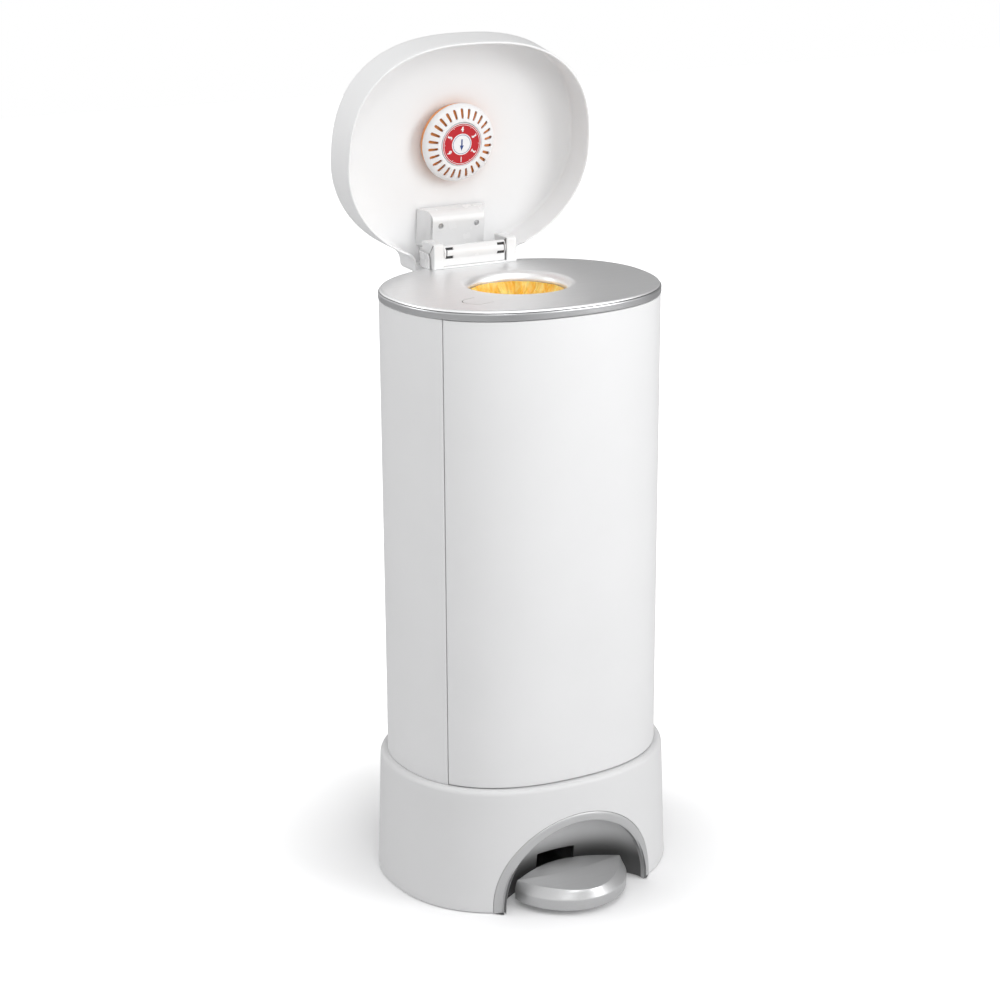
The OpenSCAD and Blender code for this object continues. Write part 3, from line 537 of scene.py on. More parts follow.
def recess():
    """Silver bezel round the arch and the hollow behind it, as one closed shell."""
    inner, outer = ARCH_R - BEZEL_W, ARCH_R - 0.3
    hollow_r, shell_r, shell_d = inner - 0.6, inner + 2.0, SCOOP_D + 2.6
    n = 26
    quarter = [math.pi / 2 * j / n for j in range(n + 1)]
    rows = []
    for c, s, z0 in arch_stations():
        def at(r, y):
            return r * c, y, z0 + r * s

        def face(r, out):
            return at(r, oval_front(r * c, base_k(z0 + r * s) + out))

        row = [face(outer - r, out) for r, out in BEZEL_OUTSIDE]
        row += [face(inner + r, out) for r, out in BEZEL_INSIDE]
        rim_y = row[-1][1]
        row += [at(hollow_r, rim_y + (SCOOP_Y - rim_y) * share) for share in (0.3, 0.6, 0.85, 1.0)]
        row += [at(hollow_r * math.cos(a), SCOOP_Y + SCOOP_D * math.sin(a)) for a in quarter[1:]]
        row += [at(shell_r * math.cos(a), SCOOP_Y + shell_d * math.sin(a)) for a in quarter[::-1]]
        row.append(at(shell_r, rim_y + 3))
        rows.append(row)
    verts, faces = sweep(rows, False)
    shell = piece("recess_skin", verts, faces, RECESS_SILVER, "root", ["pedal_recess"])
    lever_half, lever_y, lever_top = 23, -112, 36.5
    cut(shell, [box_solid(-lever_half, lever_half, lever_y, -60, -20, lever_top)])
    smooth(shell, 40)
    # The bowl's inner faces take the second material: silver with painted light and painted shade.
    shell.data.materials.append(BOWL_LIGHT_AND_SHADE)
    for p in shell.data.polygons:
        x, y, z = p.center / MM
        reach = math.hypot(x, max(0.0, z - ARCH_Z))
        if reach < inner - 0.3 and y > oval_front(x, base_k(z)) + 4:
            p.material_index = 1


# ---- Pedal ----
def pad_ring(z, tip, front, rear, bend):
    """The pad's lens outline at a height, drawn in at its tips, front and rear."""
    ring = []
    steps = 180
    for i in range(steps):
        t = 2 * math.pi * (i + 0.5) / steps
        s = math.sin(t)
        y = (PAD_FRONT - front) * bent(s, bend) if s < 0 else (PAD_BACK - rear) * bent(s, 2.2)
        ring.append(((PAD_HALF_W - tip) * math.cos(t), PAD_Y + y, z))
    return ring


# The pad from its underside up: height, how far its tips, front and rear draw in, and its bend
PAD_LEVELS = [
    (6.0, 2.6, 2.6, 2.6, 1.2), (6.3, 1.4, 1.4, 1.4, 1.2), (7.0, 0.6, 0.6, 0.5, 1.2),
    (8.2, 0.3, 0.3, 0.2, 1.2), (17.6, 0, 0, 0, 1.2), (18.5, 0.05, 0.1, 0.05, 1.21),
    (19.3, 0.1, 0.45, 0.1, 1.25), (22.0, 0.8, 1.7, 0.3, 1.47), (25.0, 1.6, 3.0, 0.7, 1.72),
    (27.2, 2.4, 4.1, 1.1, 1.9), (27.8, 2.9, 4.7, 1.4, 1.94), (28.0, 3.9, 6.0, 2.3, 1.95)]


def pedal():
    """The foot pad, with the slot in its underside for the lever."""
    rings = [pad_ring(*level) for level in PAD_LEVELS]
    n = len(rings[0])
    verts = [v for ring in rings for v in ring]
    faces = grid_faces(len(rings), n, False, True)
    bottom, top = len(verts), len(verts) + 1
    middle_y = PAD_Y - 10
    verts += [(0, middle_y, PAD_LEVELS[0][0]), (0, middle_y, PAD_TOP)]
    last = (len(rings) - 1) * n
    for j in range(n):
        faces.append((bottom, (j + 1) % n, j))
        faces.append((top, last + j, last + (j + 1) % n))
    pad = piece("pedal_skin", verts, faces, PEDAL_SILVER, "pedal", ["pedal_pad"])
    slot_half, slot_y, slot_top = 18.2, PAD_Y - PAD_FRONT + 14, 14.1
    cut(pad, [box_solid(-slot_half, slot_half, slot_y, PAD_Y + PAD_BACK + 5, 0, slot_top)])
    smooth(pad, 24)


# ---- Deck ----
TAB_AT, TAB_TURN, TAB_HALF = (-80.0, -63.0), math.radians(198.9), 13.0


def at_tab(outline):
    c, s = math.cos(TAB_TURN), math.sin(TAB_TURN)
    return [(TAB_AT[0] + x * c - y * s, TAB_AT[1] + x * s + y * c) for x, y in outline]


def tab_outline(k):
    """D-shaped outline of the release button, k outside it, round towards the rim."""
    corner = 3
    inset = TAB_HALF - corner
    back = arc(-inset, inset + k, corner, 90, 180, 5) + arc(-inset, -inset - k, corner, 180, 270, 5)
    return at_tab(arc(0, 0, TAB_HALF + k, -90, 90, 24) + back)


# The deck's rounded outer edge: how far outside the body's oval, and height from the deck
DECK_EDGE = [(-3.4, -0.08), (-2.7, -0.25), (-2.0, -0.55), (-1.4, -1.0), (-1.0, -1.6), (-0.85, -2.3),
             (-3.2, -2.5)]
DECK_T = 1.6              # thickness in the dish


def deck():
    """The top panel: a dish that rounds down into the hole, and a rolled outer edge."""
    steps, n = 288, 14
    quarter = [math.pi / 2 * j / n for j in range(n + 1)]
    outside, inside = DISH_R - HOLE_R, DISH_R - HOLE_R - DECK_T
    rows = []
    for i in range(steps):
        t = 360 * i / steps
        a = math.radians(t)

        def dish(r, z):
            return r * math.cos(a), HOLE_Y + r * math.sin(a), DECK_Z + z

        row = [dish(HOLE_R + DECK_T, -16), dish(HOLE_R + 0.6, -16), dish(HOLE_R, -15.5)]
        for b in quarter[::-1]:
            row.append(dish(DISH_R - outside * math.sin(b), -DISH_H * (1 - math.cos(b))))
        edge = oval_at(-4.2, t)
        start = dish(DISH_R + 1.2, 0.0)
        row.append(start)
        for s in (0.12, 0.3, 0.5, 0.7, 0.88, 1.0):
            row.append((start[0] + (edge[0] - start[0]) * s, start[1] + (edge[1] - start[1]) * s, DECK_Z))
        row += [(*oval_at(k, t), DECK_Z + z) for k, z in DECK_EDGE]
        row.append(dish(DISH_R + 4, -2.6))
        for b in quarter:
            row.append(dish(DISH_R - inside * math.sin(b), -DECK_T - DISH_H * (1 - math.cos(b))))
        rows.append(row)
    verts, faces = sweep(rows, True)
    panel = piece("deck_skin", verts, faces, DECK_SILVER, "root", ["deck_panel"])
    below, above, rod_half = DECK_Z - 8, DECK_Z + 8, 9
    cut(panel, [prism(tab_outline(0.95), below, above),
                box_solid(-rod_half, rod_half, 100, 112, below, above)])
    smooth(panel, 30)


def rim():
    """The silver band round the top of the body."""
    steps = 360
    section = [(-2.6, -10.2), (-0.2, -10.35), (0.25, -10.1), (0.55, -9.5), (0.6, -8.6), (0.45, -6.6),
               (0.45, -5.6), (0.6, -4.6), (0.5, -3.7), (0.2, -3.1), (-0.3, -2.85), (-2.6, -2.85)]
    rows = [[(*oval_at(k, 360 * i / steps), DECK_Z + z) for k, z in section] for i in range(steps)]
    verts, faces = sweep(rows, True)
    piece("rim_band", verts, faces, RIM_SILVER, "root", ["deck_rim"])


def release_button():
    """Flush button with a shallow finger groove along its round edge, and the dark seal round it."""
    verts, faces = prism(tab_outline(0.0), DECK_Z - 3, DECK_Z)
    button = piece("button_cap", verts, faces, DECK_SILVER, "button")
    groove = arc(0, 0, TAB_HALF - 2.4, -78, 78, 20) + arc(0, 0, TAB_HALF - 4.0, 78, -78, 20)
    cut(button, [prism(at_tab(groove), DECK_Z - 1.6, DECK_Z + 3)])
    bevel(button, 0.45)
    verts, faces = prism(tab_outline(1.2), DECK_Z - 2.2, DECK_Z - 0.6)
    seal = piece("button_seal", verts, faces, RUBBER_AND_SHADE)
    cut(seal, [prism(tab_outline(0.12), DECK_Z - 4, DECK_Z + 2)])


# ---- Throat film ----
# Heights from the deck, with the film's half width and half depth there
FILM_SHAPE = [
    (-9.6, 50.4, 50.4), (-14.5, 49.6, 49.8), (-19, 47, 48), (-27, 39, 45.2), (-38, 30, 44.6),
    (-50, 20, 44), (-62, 10.5, 43.2), (-71, 3.6, 42.5), (-76, 0.75, 42), (-96, 0.75, 42),
    (-104, 2.4, 42.6), (-120, 8, 47), (-145, 17, 58), (-180, 25, 68), (-230, 30, 73.5),
    (-300, 31.5, 74.5), (-340, 28, 68), (-358, 17, 44), (-368, 7, 16), (-373, 4.5, 7),
    (-377, 4.5, 7), (-384, 8, 18), (-390, 10, 27)]


def film_half_sizes(z):
    """Half width and half depth of the hanging film at a height below the deck."""
    for (z0, a0, b0), (z1, a1, b1) in zip(FILM_SHAPE, FILM_SHAPE[1:]):
        if z >= z1:
            s = (z0 - z) / (z0 - z1)
            return a0 + (a1 - a0) * s, b0 + (b1 - b0) * s
    return FILM_SHAPE[-1][1:]


# The film's main folds round its middle: angle in radians, height as a share, and width in radians
FOLDS = [
    (0.03, 0.9, 0.17), (0.31, 0.5, 0.11), (0.52, 1.0, 0.2), (0.83, 0.6, 0.12), (1.02, 0.85, 0.16),
    (1.27, 0.5, 0.1), (1.49, 1.0, 0.2), (1.8, 0.7, 0.14), (1.98, 0.45, 0.1), (2.22, 0.95, 0.18),
    (2.5, 0.6, 0.13), (2.71, 0.9, 0.15), (2.97, 0.5, 0.12), (3.16, 1.0, 0.19), (3.45, 0.65, 0.13),
    (3.66, 0.85, 0.15), (3.9, 0.5, 0.1), (4.08, 1.0, 0.18), (4.37, 0.7, 0.14), (4.6, 0.9, 0.17),
    (4.84, 0.5, 0.11), (5.04, 0.95, 0.18), (5.32, 0.65, 0.12), (5.55, 1.0, 0.17), (5.8, 0.55, 0.12),
    (6.03, 0.8, 0.15)]


def film_folds(t, z):
    """How far the film stands in from its widest, as a share: uneven ridges with finer creases."""
    drift = 0.02 * math.sin(z * 0.09 + 3 * t) + 0.012 * math.sin(z * 0.21 + 5 * t)
    total = 0.0
    for centre, height, width in FOLDS:
        d = abs((t + drift - centre + math.pi) % (2 * math.pi) - math.pi)
        total += height * math.exp(-((d / (width * 0.62)) ** 2))
    fine = math.sin(83 * (t + drift) + 2.2 * math.sin(3 * t + z * 0.05)) * math.sin(11 * t + 0.7)
    return min(1.25, total) + 0.16 * fine


def film_middle(z):
    """Depth position of the film's middle: under the dish at its top, on the cartridge's axis below."""
    s = min(1.0, max(0.0, (-z - 12) / 40))
    return HOLE_Y + (FILM_Y - HOLE_Y) * s * s * (3 - 2 * s)


# Heights from the deck, with the depth of the film's folds there
FOLD_DEPTHS = [
    (-9.8, 1.2), (-13, 3.0), (-19, 5.4), (-34, 6.0), (-50, 3.6), (-62, 1.8), (-71, 0.6), (-76, 0.1),
    (-100, 0.1), (-120, 2.4), (-150, 4.0), (-340, 4.0), (-360, 2.4), (-372, 0.8), (-378, 0.8), (-390, 2.0)]


def film_depth(z):
    """Depth of the folds at a height below the deck."""
    for (z0, d0), (z1, d1) in zip(FOLD_DEPTHS, FOLD_DEPTHS[1:]):
        if z >= z1:
            return d0 + (d1 - d0) * (z0 - z) / (z0 - z1)
    return FOLD_DEPTHS[-1][1]


def film():
    """The film drawn down from its cartridge, as one sheet with both ends open."""
    cols = 720
    heights = [-9.8, -10.2, -10.9] + [-12 - 1.5 * i for i in range(43)]
    heights += [-76 - 5.0 * i for i in range(8)] + [-118 - 8.0 * i for i in range(29)]
    heights += [-350, -355, -360, -364, -368, -371, -374, -377, -380, -384, -387, -390]
    verts = []
    for z in heights:
        a, b = film_half_sizes(z)
        for j in range(cols):
            t = 2 * math.pi * j / cols
            inward = film_depth(z) * film_folds(t, z)
            x, y = max(0.0, a - inward) * math.cos(t), film_middle(z) + (b - inward) * math.sin(t)
            x += 0.3 * math.copysign(1, math.cos(t)) if a < inward + 0.3 else 0.0
            verts.append((x, y, DECK_Z + z))
    faces = grid_faces(len(heights), cols, False, True)
    sheet = piece("film_tube", verts, faces, FILM, "root", ["liner_film"], angle=180)


# ---- Lid ----
def lid_radius(angle, k):
    """Distance of the closed lid's outline, k outside it, from the lid's middle at an angle.
    The oval and the hood at the back join in a smooth fillet."""
    c, s = math.cos(angle), math.sin(angle)
    power, depth = (LID_POWER, LID_FRONT_D) if s < 0 else (REAR_POWER, LID_REAR_D)
    oval_r = (abs(c / (LID_HALF_W + k)) ** power + abs(s / (depth + k)) ** power) ** (-1 / power)
    if s <= 0:
        return oval_r
    fillet, corner = 14.0, 7.0
    hw, hy = HOOD_HALF + k, HOOD_Y - LID_BACK + k

    def hood_gap(r):
        x, y = abs(r * c), r * s
        dx, dy = x - (hw - corner), y - (hy - corner)
        inside = min(max(dx, dy), 0.0)
        return math.hypot(max(dx, 0), max(dy, 0)) + inside - corner

    def edge_gap(r):
        h, o = hood_gap(r), (r - oval_r) * 0.97
        mix = max(fillet - abs(h - o), 0.0) / fillet
        return min(h, o) - mix * mix * fillet / 4

    lo, hi = 20.0, 260.0
    for _ in range(40):
        mid = (lo + hi) / 2
        if edge_gap(mid) > 0:
            hi = mid
        else:
            lo = mid
    return lo


def lip_height(y):
    """The lip rises at the back, where it swings down behind the deck."""
    s = min(1.0, max(0.0, (y - 106.0) / 6.0))
    return LIP_Z + (REAR_LIP_Z - LIP_Z) * s * s * (3 - 2 * s)


def crown(share):
    """Rise of the lid's crown at a share of the way out to its edge."""
    return CROWN_H * (1 - min(1.0, share) ** 2.4)


def lid():
    steps = 384
    edge_z = LIP_Z + SKIRT_H
    flare, outer_r, inner_r = 2.2, 6.0, 3.5
    shares = (0.98, 0.95, 0.9, 0.82, 0.72, 0.6, 0.48, 0.36, 0.24, 0.12)
    rows = []
    for i in range(steps):
        a = 2 * math.pi * i / steps

        def at(k, z, share=1.0):
            r = lid_radius(a, k) * share
            return r * math.cos(a), LID_BACK + r * math.sin(a), z

        lip = lip_height(at(0, 0)[1])
        row = [at(-LID_WALL, lip + 1.4), at(-LID_WALL + 0.2, lip + 0.5), at(-1.8, lip + 0.1),
               at(-1.2, lip), at(-0.6, lip + 0.1), at(-0.2, lip + 0.5), at(0.0, lip + 1.4)]
        for s in (0.15, 0.4, 0.65, 0.85, 1.0):
            row.append(at(flare * s, lip + 1.4 + (edge_z - outer_r - lip - 1.4) * s))
        row += [at(k, z) for k, z in arc(flare - outer_r, edge_z - outer_r, outer_r, 12, 90, 6)]
        row += [at(flare - outer_r, edge_z + crown(share), share) for share in shares]
        row.append((0, LID_BACK, edge_z + CROWN_H))
        row += [at(flare - outer_r, edge_z + crown(share) - LID_WALL, share) for share in shares[::-1]]
        inner = flare - LID_WALL - inner_r, edge_z - LID_WALL - inner_r
        row += [at(k, z) for k, z in arc(*inner, inner_r, 90, 0, 6)]
        for s in (0.7, 0.4, 0.15):
            row.append(at(flare * s - LID_WALL, lip + 1.4 + (edge_z - outer_r - lip - 1.4) * s))
        rows.append(row)
    verts, faces = sweep(rows, True)
    piece("lid_skin", verts, faces, LID_WHITE, "lid", ["lid_shell"], angle=50, lid=True)


# ---- Hinge ----
def hinge_block():
    """The block inside the lid that turns on the pin: a screwed face and flared cheeks."""
    top = LIP_Z + SKIRT_H - DECK_Z - LID_WALL + 1.5
    over = top + 4
    half_w, screw_x, screw_y, screw_r = 31, 21.4, 86, 3.1
    flare_z, flare = 27.5, 0.3
    face = [(70.4, over), (70.8, 37), (71.8, 33), (73.6, 29.8), (76, 27.3), (79, 25.6), (82.4, 24.9),
            (111, 24.9), (111, over)]
    verts, faces = prism(face, -half_w, half_w)
    block = piece("block_body", turned(verts, (2, 0, 1)), faces, HINGE_WHITE, "lid", ["hinge_block"])
    bm = bmesh.new()
    bm.from_mesh(block.data)
    for z in (flare_z, 30.5, 34, 38):
        bmesh.ops.bisect_plane(bm, geom=bm.verts[:] + bm.edges[:] + bm.faces[:], plane_co=(0, 0, z * MM),
                               plane_no=(0, 0, 1))
    bm.to_mesh(block.data)
    bm.free()
    for v in block.data.vertices:
        rise = max(0.0, (v.co.z / MM - flare_z) / (top - flare_z))
        v.co.x *= 1 + flare * rise ** 1.3
        v.co.z += DECK_Z * MM
    cut(block, [prism(circle(x, screw_y, screw_r), DECK_Z + 15, DECK_Z + 28.2)
                for x in (-screw_x, screw_x)])
    bevel(block, 1.5, 4, 38)
    cut(block, [box_solid(-60, 60, 50, 130, DECK_Z + top, DECK_Z + over + 5)])
    smooth(block, 40)
    block.data.transform(OPEN_LID)
    hinge_knuckle(top)
    lifting_nose()


def hinge_knuckle(top):
    """The arm from the block down to its barrel on the pin."""
    front_y, rear_y, barrel_r = 111.3, 120.8, 5
    barrel = arc(PIN_Y, PIN_Z - DECK_Z, barrel_r, 180, 360, 12)
    outline = [(front_y, top), (front_y, 6.5)] + barrel + [(rear_y, top)]
    verts, faces = prism(outline, -BARREL_HALF, BARREL_HALF)
    arm = piece("knuckle", turned(verts, (2, 0, 1)), faces, HINGE_WHITE, "lid")
    for v in arm.data.vertices:
        v.co.z += DECK_Z * MM
    bevel(arm, 0.8)
    arm.data.transform(OPEN_LID)


def lifting_nose():
    """The rounded nose below the pin that the push rod lifts."""
    half_w, root, reach, tip_r = 6, 4.4, 10.5, 2.5
    turn = math.radians(180 + OPEN_ANGLE / 2)
    outline = [(2.2, root)] + arc(0, reach, tip_r, 0, 180, 12) + [(-0.4, root)]
    ends = []
    for x in (-half_w, half_w):
        for u, w in outline:
            dy = w * math.cos(turn) + u * math.sin(turn)
            dz = w * math.sin(turn) - u * math.cos(turn)
            ends.append((x, PIN_Y + dy, PIN_Z + dz))
    n = len(outline)
    faces = [tuple(range(n)), tuple(range(n, 2 * n))[::-1]]
    faces += [(i, n + i, n + (i + 1) % n, (i + 1) % n) for i in range(n)]
    nose = piece("lifting_nose", ends, faces, HINGE_WHITE, "lid", lid=True)
    bevel(nose, 0.4, 2)


def upright(name, outline, x0, x1, side, width, segments, nodes):
    """An upright plate of the hinge, from its outline in (y, z), on the left (-1) or right (1)."""
    verts, faces = prism(outline, x0, x1)
    verts = [(side * w, y, z) for y, z, w in verts]
    plate = piece(name, verts, faces, HINGE_WHITE, "root", nodes if side < 0 else ())
    if name.startswith("hinge_ear"):
        verts, faces = prism(circle(PIN_Y, PIN_Z, 2.7), 30, 60)
        cut(plate, [([(side * w, y, z) for y, z, w in verts], faces)])
    bevel(plate, width, segments)


def hinge_on_deck():
    """The ears with the pin's bores, the guards outside them, the foot and the cover."""
    top = EAR_H + DECK_Z
    rear = PIN_Y + 5
    ear = [(EAR_FRONT, DECK_Z), (rear, DECK_Z), (rear, top)]
    ear += arc(EAR_FRONT + 3, top - 3, 3, 90, 180, 6)
    guard = [(99.5, DECK_Z), (rear, DECK_Z), (rear, DECK_Z + 16)]
    guard += arc(105.5, DECK_Z + 10, 6, 90, 180, 6)
    for side, name in ((-1, "left"), (1, "right")):
        upright(f"hinge_ear_{name}", ear, EAR_IN, EAR_OUT, side, 0.9, 3, ["hinge_bracket"])
        upright(f"hinge_guard_{name}", guard, EAR_OUT + 1.5, EAR_OUT + 3.2, side, 0.4, 2,
                ["hinge_guards"])
    verts, faces = box_solid(-EAR_IN - 0.2, EAR_IN + 0.2, 92.4, 100.4, DECK_Z, DECK_Z + 2.4)
    foot = piece("bracket_foot", verts, faces, HINGE_WHITE)
    bevel(foot, 0.5, 2)
    hinge_cover()


def hinge_cover():
    """The cover between the ears, with a clip's slits at each end; dark plates behind the slits and in the
    gap at its right end are painted shade.
    """
    profile = [(97, 2.6), (97, 24.3), (95.6, 24.4), (94.4, 23.6), (93.6, 22.4), (92.4, 20.6),
               (91.5, 18.6), (91.2, 16.6), (91.5, 14.6), (92.2, 12.8), (92.9, 11.6), (93.6, 10.6),
               (93.9, 9.0), (94, 2.6)]
    verts, faces = prism(profile, -EAR_IN + 0.4, EAR_IN - 1.6)
    verts = [(x, y, DECK_Z + z) for y, z, x in verts]
    cover = piece("hinge_cover_skin", verts, faces, HINGE_WHITE, "root", ["hinge_cover"])
    slit_in, slit_out, slit_w = 26.2, 35.2, 1.6
    slits = []
    for side in (-1, 1):
        for x, z, thick in ((slit_in, 10.4, 3.2), (slit_in, 19.6, 2.8), (slit_out - slit_w, 10.6, 11.4)):
            x0, x1 = sorted((side * x, side * slit_out))
            slits.append(box_solid(x0, x1, 85, 99, DECK_Z + z, DECK_Z + z + thick))
    cut(cover, slits)
    bevel(cover, 0.35, 2)
    # Painted shade: dark plates inside the cover, seen through the slits and the gap at its right end.
    for name, x0, x1, z0, z1 in (("clip_shade_left", -35.6, -25.8, 10, 22.8),
                                 ("clip_shade_right", 25.8, 35.6, 10, 22.8),
                                 ("cover_end_shade", EAR_IN - 1.9, EAR_IN - 0.1, 3, 24)):
        verts, faces = box_solid(x0, x1, 94.6, 96.7, DECK_Z + z0, DECK_Z + z1)
        back = piece(name, verts, faces, RUBBER_AND_SHADE)
        bevel(back, 0.15, 1)


# ---- Deodoriser ----
# Sections in (radius, height above DEO_Z)
DEO_COVER = [
    (23.6, 1.4), (23.6, -3.6), (23.9, -4.2), (24.8, -4.4), (28, -3.9), (32, -2.9), (36.5, -1.1),
    (38.8, 0.1), (40.6, 1.7), (41.6, 3.0), (DEO_R, 4.2), (42.1, 4.9), (41.6, 5.2), (40.8, 4.8),
    (40.2, 3.6), (38.6, 2.0), (36.3, 0.6), (32, -1.2), (28, -2.2), (25.6, -2.6), (25.1, -2.2), (25.0, 1.4)]
DEO_POCKET = [(3.0, 1.6), (3.0, 0.2), (25.0, 0.2), (25.0, 1.6)]
DEO_SCREEN = [(25.4, 3.4), (25.4, 0.6), (30, 0.7), (36, 1.9), (38.4, 2.9), (39.4, 3.9)]
DEO_CUP = [(0.0, 13.4), (39.0, 13.4), (39.9, 13.0), (40.3, 12.2), (40.9, 5.4), (39.2, 5.4), (38.6, 6.4),
           (38.2, 11.2), (0.0, 11.4)]
DEO_SLOTS = 26
DIAL_Z = DEO_Z - 4.5      # face of the dial, which stands out with the domed cover
NUMBER_R = 16.1


def around(outline, angle):
    """Points turned round the deodoriser's middle by an angle in radians."""
    c, s = math.cos(angle), math.sin(angle)
    return [(x * c - y * s, DEO_Y + x * s + y * c) for x, y in outline]


def deodoriser():
    """The slotted cover, the pocket for the dial, the orange screen and the cup, all in the lid."""
    middle = (0, DEO_Y, DEO_Z)
    verts, faces = revolve(DEO_COVER, 156, middle)
    cover = piece("deodoriser_face", verts, faces, DEO_WHITE, "deodoriser", ["deodoriser_cover"])
    slot = arc(36.2, 0, 1.7, -90, 90, 6) + arc(28.6, 0, 1.35, 90, 270, 6)
    cut(cover, [prism(around(slot, 2 * math.pi * (i + 0.5) / DEO_SLOTS), DEO_Z - 7, DEO_Z + 8)
                for i in range(DEO_SLOTS)])
    cover.data.transform(OPEN_LID)
    smooth(cover, 35)
    verts, faces = revolve(DEO_POCKET, 72, middle)
    piece("deodoriser_pocket", verts, faces, DEO_WHITE, "deodoriser", lid=True)
    verts, faces = revolve(DEO_SCREEN, 96, middle)
    piece("deodoriser_screen", verts, faces, DEO_ORANGE, "deodoriser", lid=True)
    verts, faces = revolve(DEO_CUP, 120, middle)
    piece("deodoriser_shell", verts, faces, DEO_ORANGE, "deodoriser", ["deodoriser_cup"], lid=True)
    dial()


def disc(name, r0, r1, z0, z1, material, edge=0.15):
    """A ring of the dial, or a disc where r0 is 0, with its front edges eased."""
    start = [(r0, z1), (r0, z0 + edge), (r0 + edge, z0)] if r0 else [(0, z1), (0, z0)]
    profile = start + [(r1 - edge, z0), (r1, z0 + edge), (r1, z1)]
    verts, faces = revolve(profile, 120, (0, DEO_Y, DIAL_Z))
    return piece(name, verts, faces, material, "dial", lid=True)


def dial():
    """The plain numbered month dial in the middle: a red ring, white lines and a white hub."""
    back = 4.2
    rim_piece = disc("dial_edge", 22.2, 23.0, 0.1, back, DIAL_WHITE)
    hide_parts("deodoriser_dial")
    disc("dial_rim_band", 21.2, 22.2, 0.1, back, DIAL_RED, 0.03)
    disc("dial_rim_line", 20.7, 21.2, 0.1, back, DIAL_WHITE, 0.03)
    disc("dial_ring", 11.6, 20.7, 0.1, back, DIAL_RED, 0.03)
    disc("dial_hub", 0, 11.6, 0.05, back, DIAL_WHITE)
    disc("dial_line", 9.9, 10.4, 0.0, 0.3, DIAL_BLUE, 0.02)
    for i in range(12):
        half, r0, r1 = (0.5, 13.4, 18.8) if i % 2 else (0.3, 19.4, 20.2)
        outline = around([(r0, -half), (r1, -half), (r1, half), (r0, half)], 2 * math.pi * i / 12)
        verts, faces = prism(outline, DIAL_Z + 0.02, DIAL_Z + 0.4)
        piece(f"dial_tick_{i}", verts, faces, DIAL_WHITE, "dial", lid=True)
    for i in range(6):
        number(str(i + 1), 60 * i)
    arrow = [(0, 6.8), (2.3, 1.0), (0.8, 1.4), (0.8, -5.5), (-0.8, -5.5), (-0.8, 1.4), (-2.3, 1.0)]
    verts, faces = prism([(x, DEO_Y + y) for x, y in arrow], DIAL_Z - 0.08, DIAL_Z + 0.4)
    piece("dial_pointer", verts, faces, DIAL_BLUE, "dial", lid=True)


def number(text, angle):
    """A plain number printed on the dial's red ring."""
    curve = bpy.data.curves.new("digit", "FONT")
    curve.body = text
    curve.size = 8.0 * MM
    curve.align_x, curve.align_y = "CENTER", "CENTER"
    curve.extrude = 0.05 * MM
    made = bpy.data.objects.new("digit", curve)
    bpy.context.scene.collection.objects.link(made)
    graph = bpy.context.evaluated_depsgraph_get()
    mesh = bpy.data.meshes.new_from_object(made.evaluated_get(graph))
    bpy.data.objects.remove(made)
    mesh.transform(Matrix.Translation(Vector((0, DEO_Y, DIAL_Z + 0.03)) * MM)
                   @ Matrix.Rotation(-math.radians(angle), 4, "Z")
                   @ Matrix.Translation(Vector((0, NUMBER_R, 0)) * MM) @ Matrix.Rotation(math.pi, 4, "Y"))
    mesh.transform(OPEN_LID)
    obj = bpy.data.objects.new(f"dial_number_{text}", mesh)
    bpy.context.scene.collection.objects.link(obj)
    mesh.materials.clear()
    mesh.materials.append(DIAL_WHITE)
    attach(obj, "dial")


# ---- Spring below the pedal's lever ----
def return_spring():
    """Coil between the base floor and the lever's rear bar."""
    radius, wire, turns, sides = 7.0, 0.9, 5, 10
    middle_y, bottom, height, shortest = 66, 8.0, 17.7, 0.54
    steps = 28 * turns
    rings = []
    for i in range(steps + 1):
        t = 2 * math.pi * turns * i / steps
        middle = bottom + wire + (height - 2 * wire) * i / steps
        ring = []
        for j in range(sides):
            u = 2 * math.pi * j / sides
            r = radius + wire * math.cos(u)
            ring.append((r * math.cos(t), middle_y + r * math.sin(t), middle + wire * math.sin(u)))
        rings.append(ring)
    verts, faces = sweep(rings, False)
    spring = piece("return_spring", verts, faces, STEEL, "root", ["pedal_spring"])
    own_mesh(spring)


# ---- Finishes of the CAD nodes that stay ----
def finish_nodes():
    finishes = {
        INNER_GREY: ["base_floor", "pivot_brackets", "rod_foot", "rod_guides", "rod_channel",
                     "bin_floor", "deck_frame", "hook_pusher", "pusher_guide", "throat_housing",
                     "flap_frame", "door_ribs", "door_keeper"],
        STEEL: ["base_screws", "pivot_shaft", "pedal_lever", "push_rod", "flap_pins", "flap_springs",
                "hinge_pin", "bracket_screws", "block_screws", "door_pins", "cutter_blade"],
        RUBBER_AND_SHADE: ["rubber_feet", "flap_lip_left", "flap_lip_right"],
        WHITE: ["door_barrel"],
        HINGE_WHITE: ["rod_tip"],
        CARTRIDGE: ["refill_cartridge", "flap_left", "flap_right", "film_cutter"],
        DECK_SILVER: ["release_button"],
        FILM_BLOCK: ["film_pack"],
        LID_WHITE: ["deodoriser_mount"],
        POWDER: ["deodoriser_pad"],
    }
    for material, names in finishes.items():
        for name in names:
            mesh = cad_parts[name].data
            mesh.materials.clear()
            mesh.materials.append(material)
            for p in mesh.polygons:
                p.use_smooth = True
            mesh.set_sharp_from_angle(angle=math.radians(30))


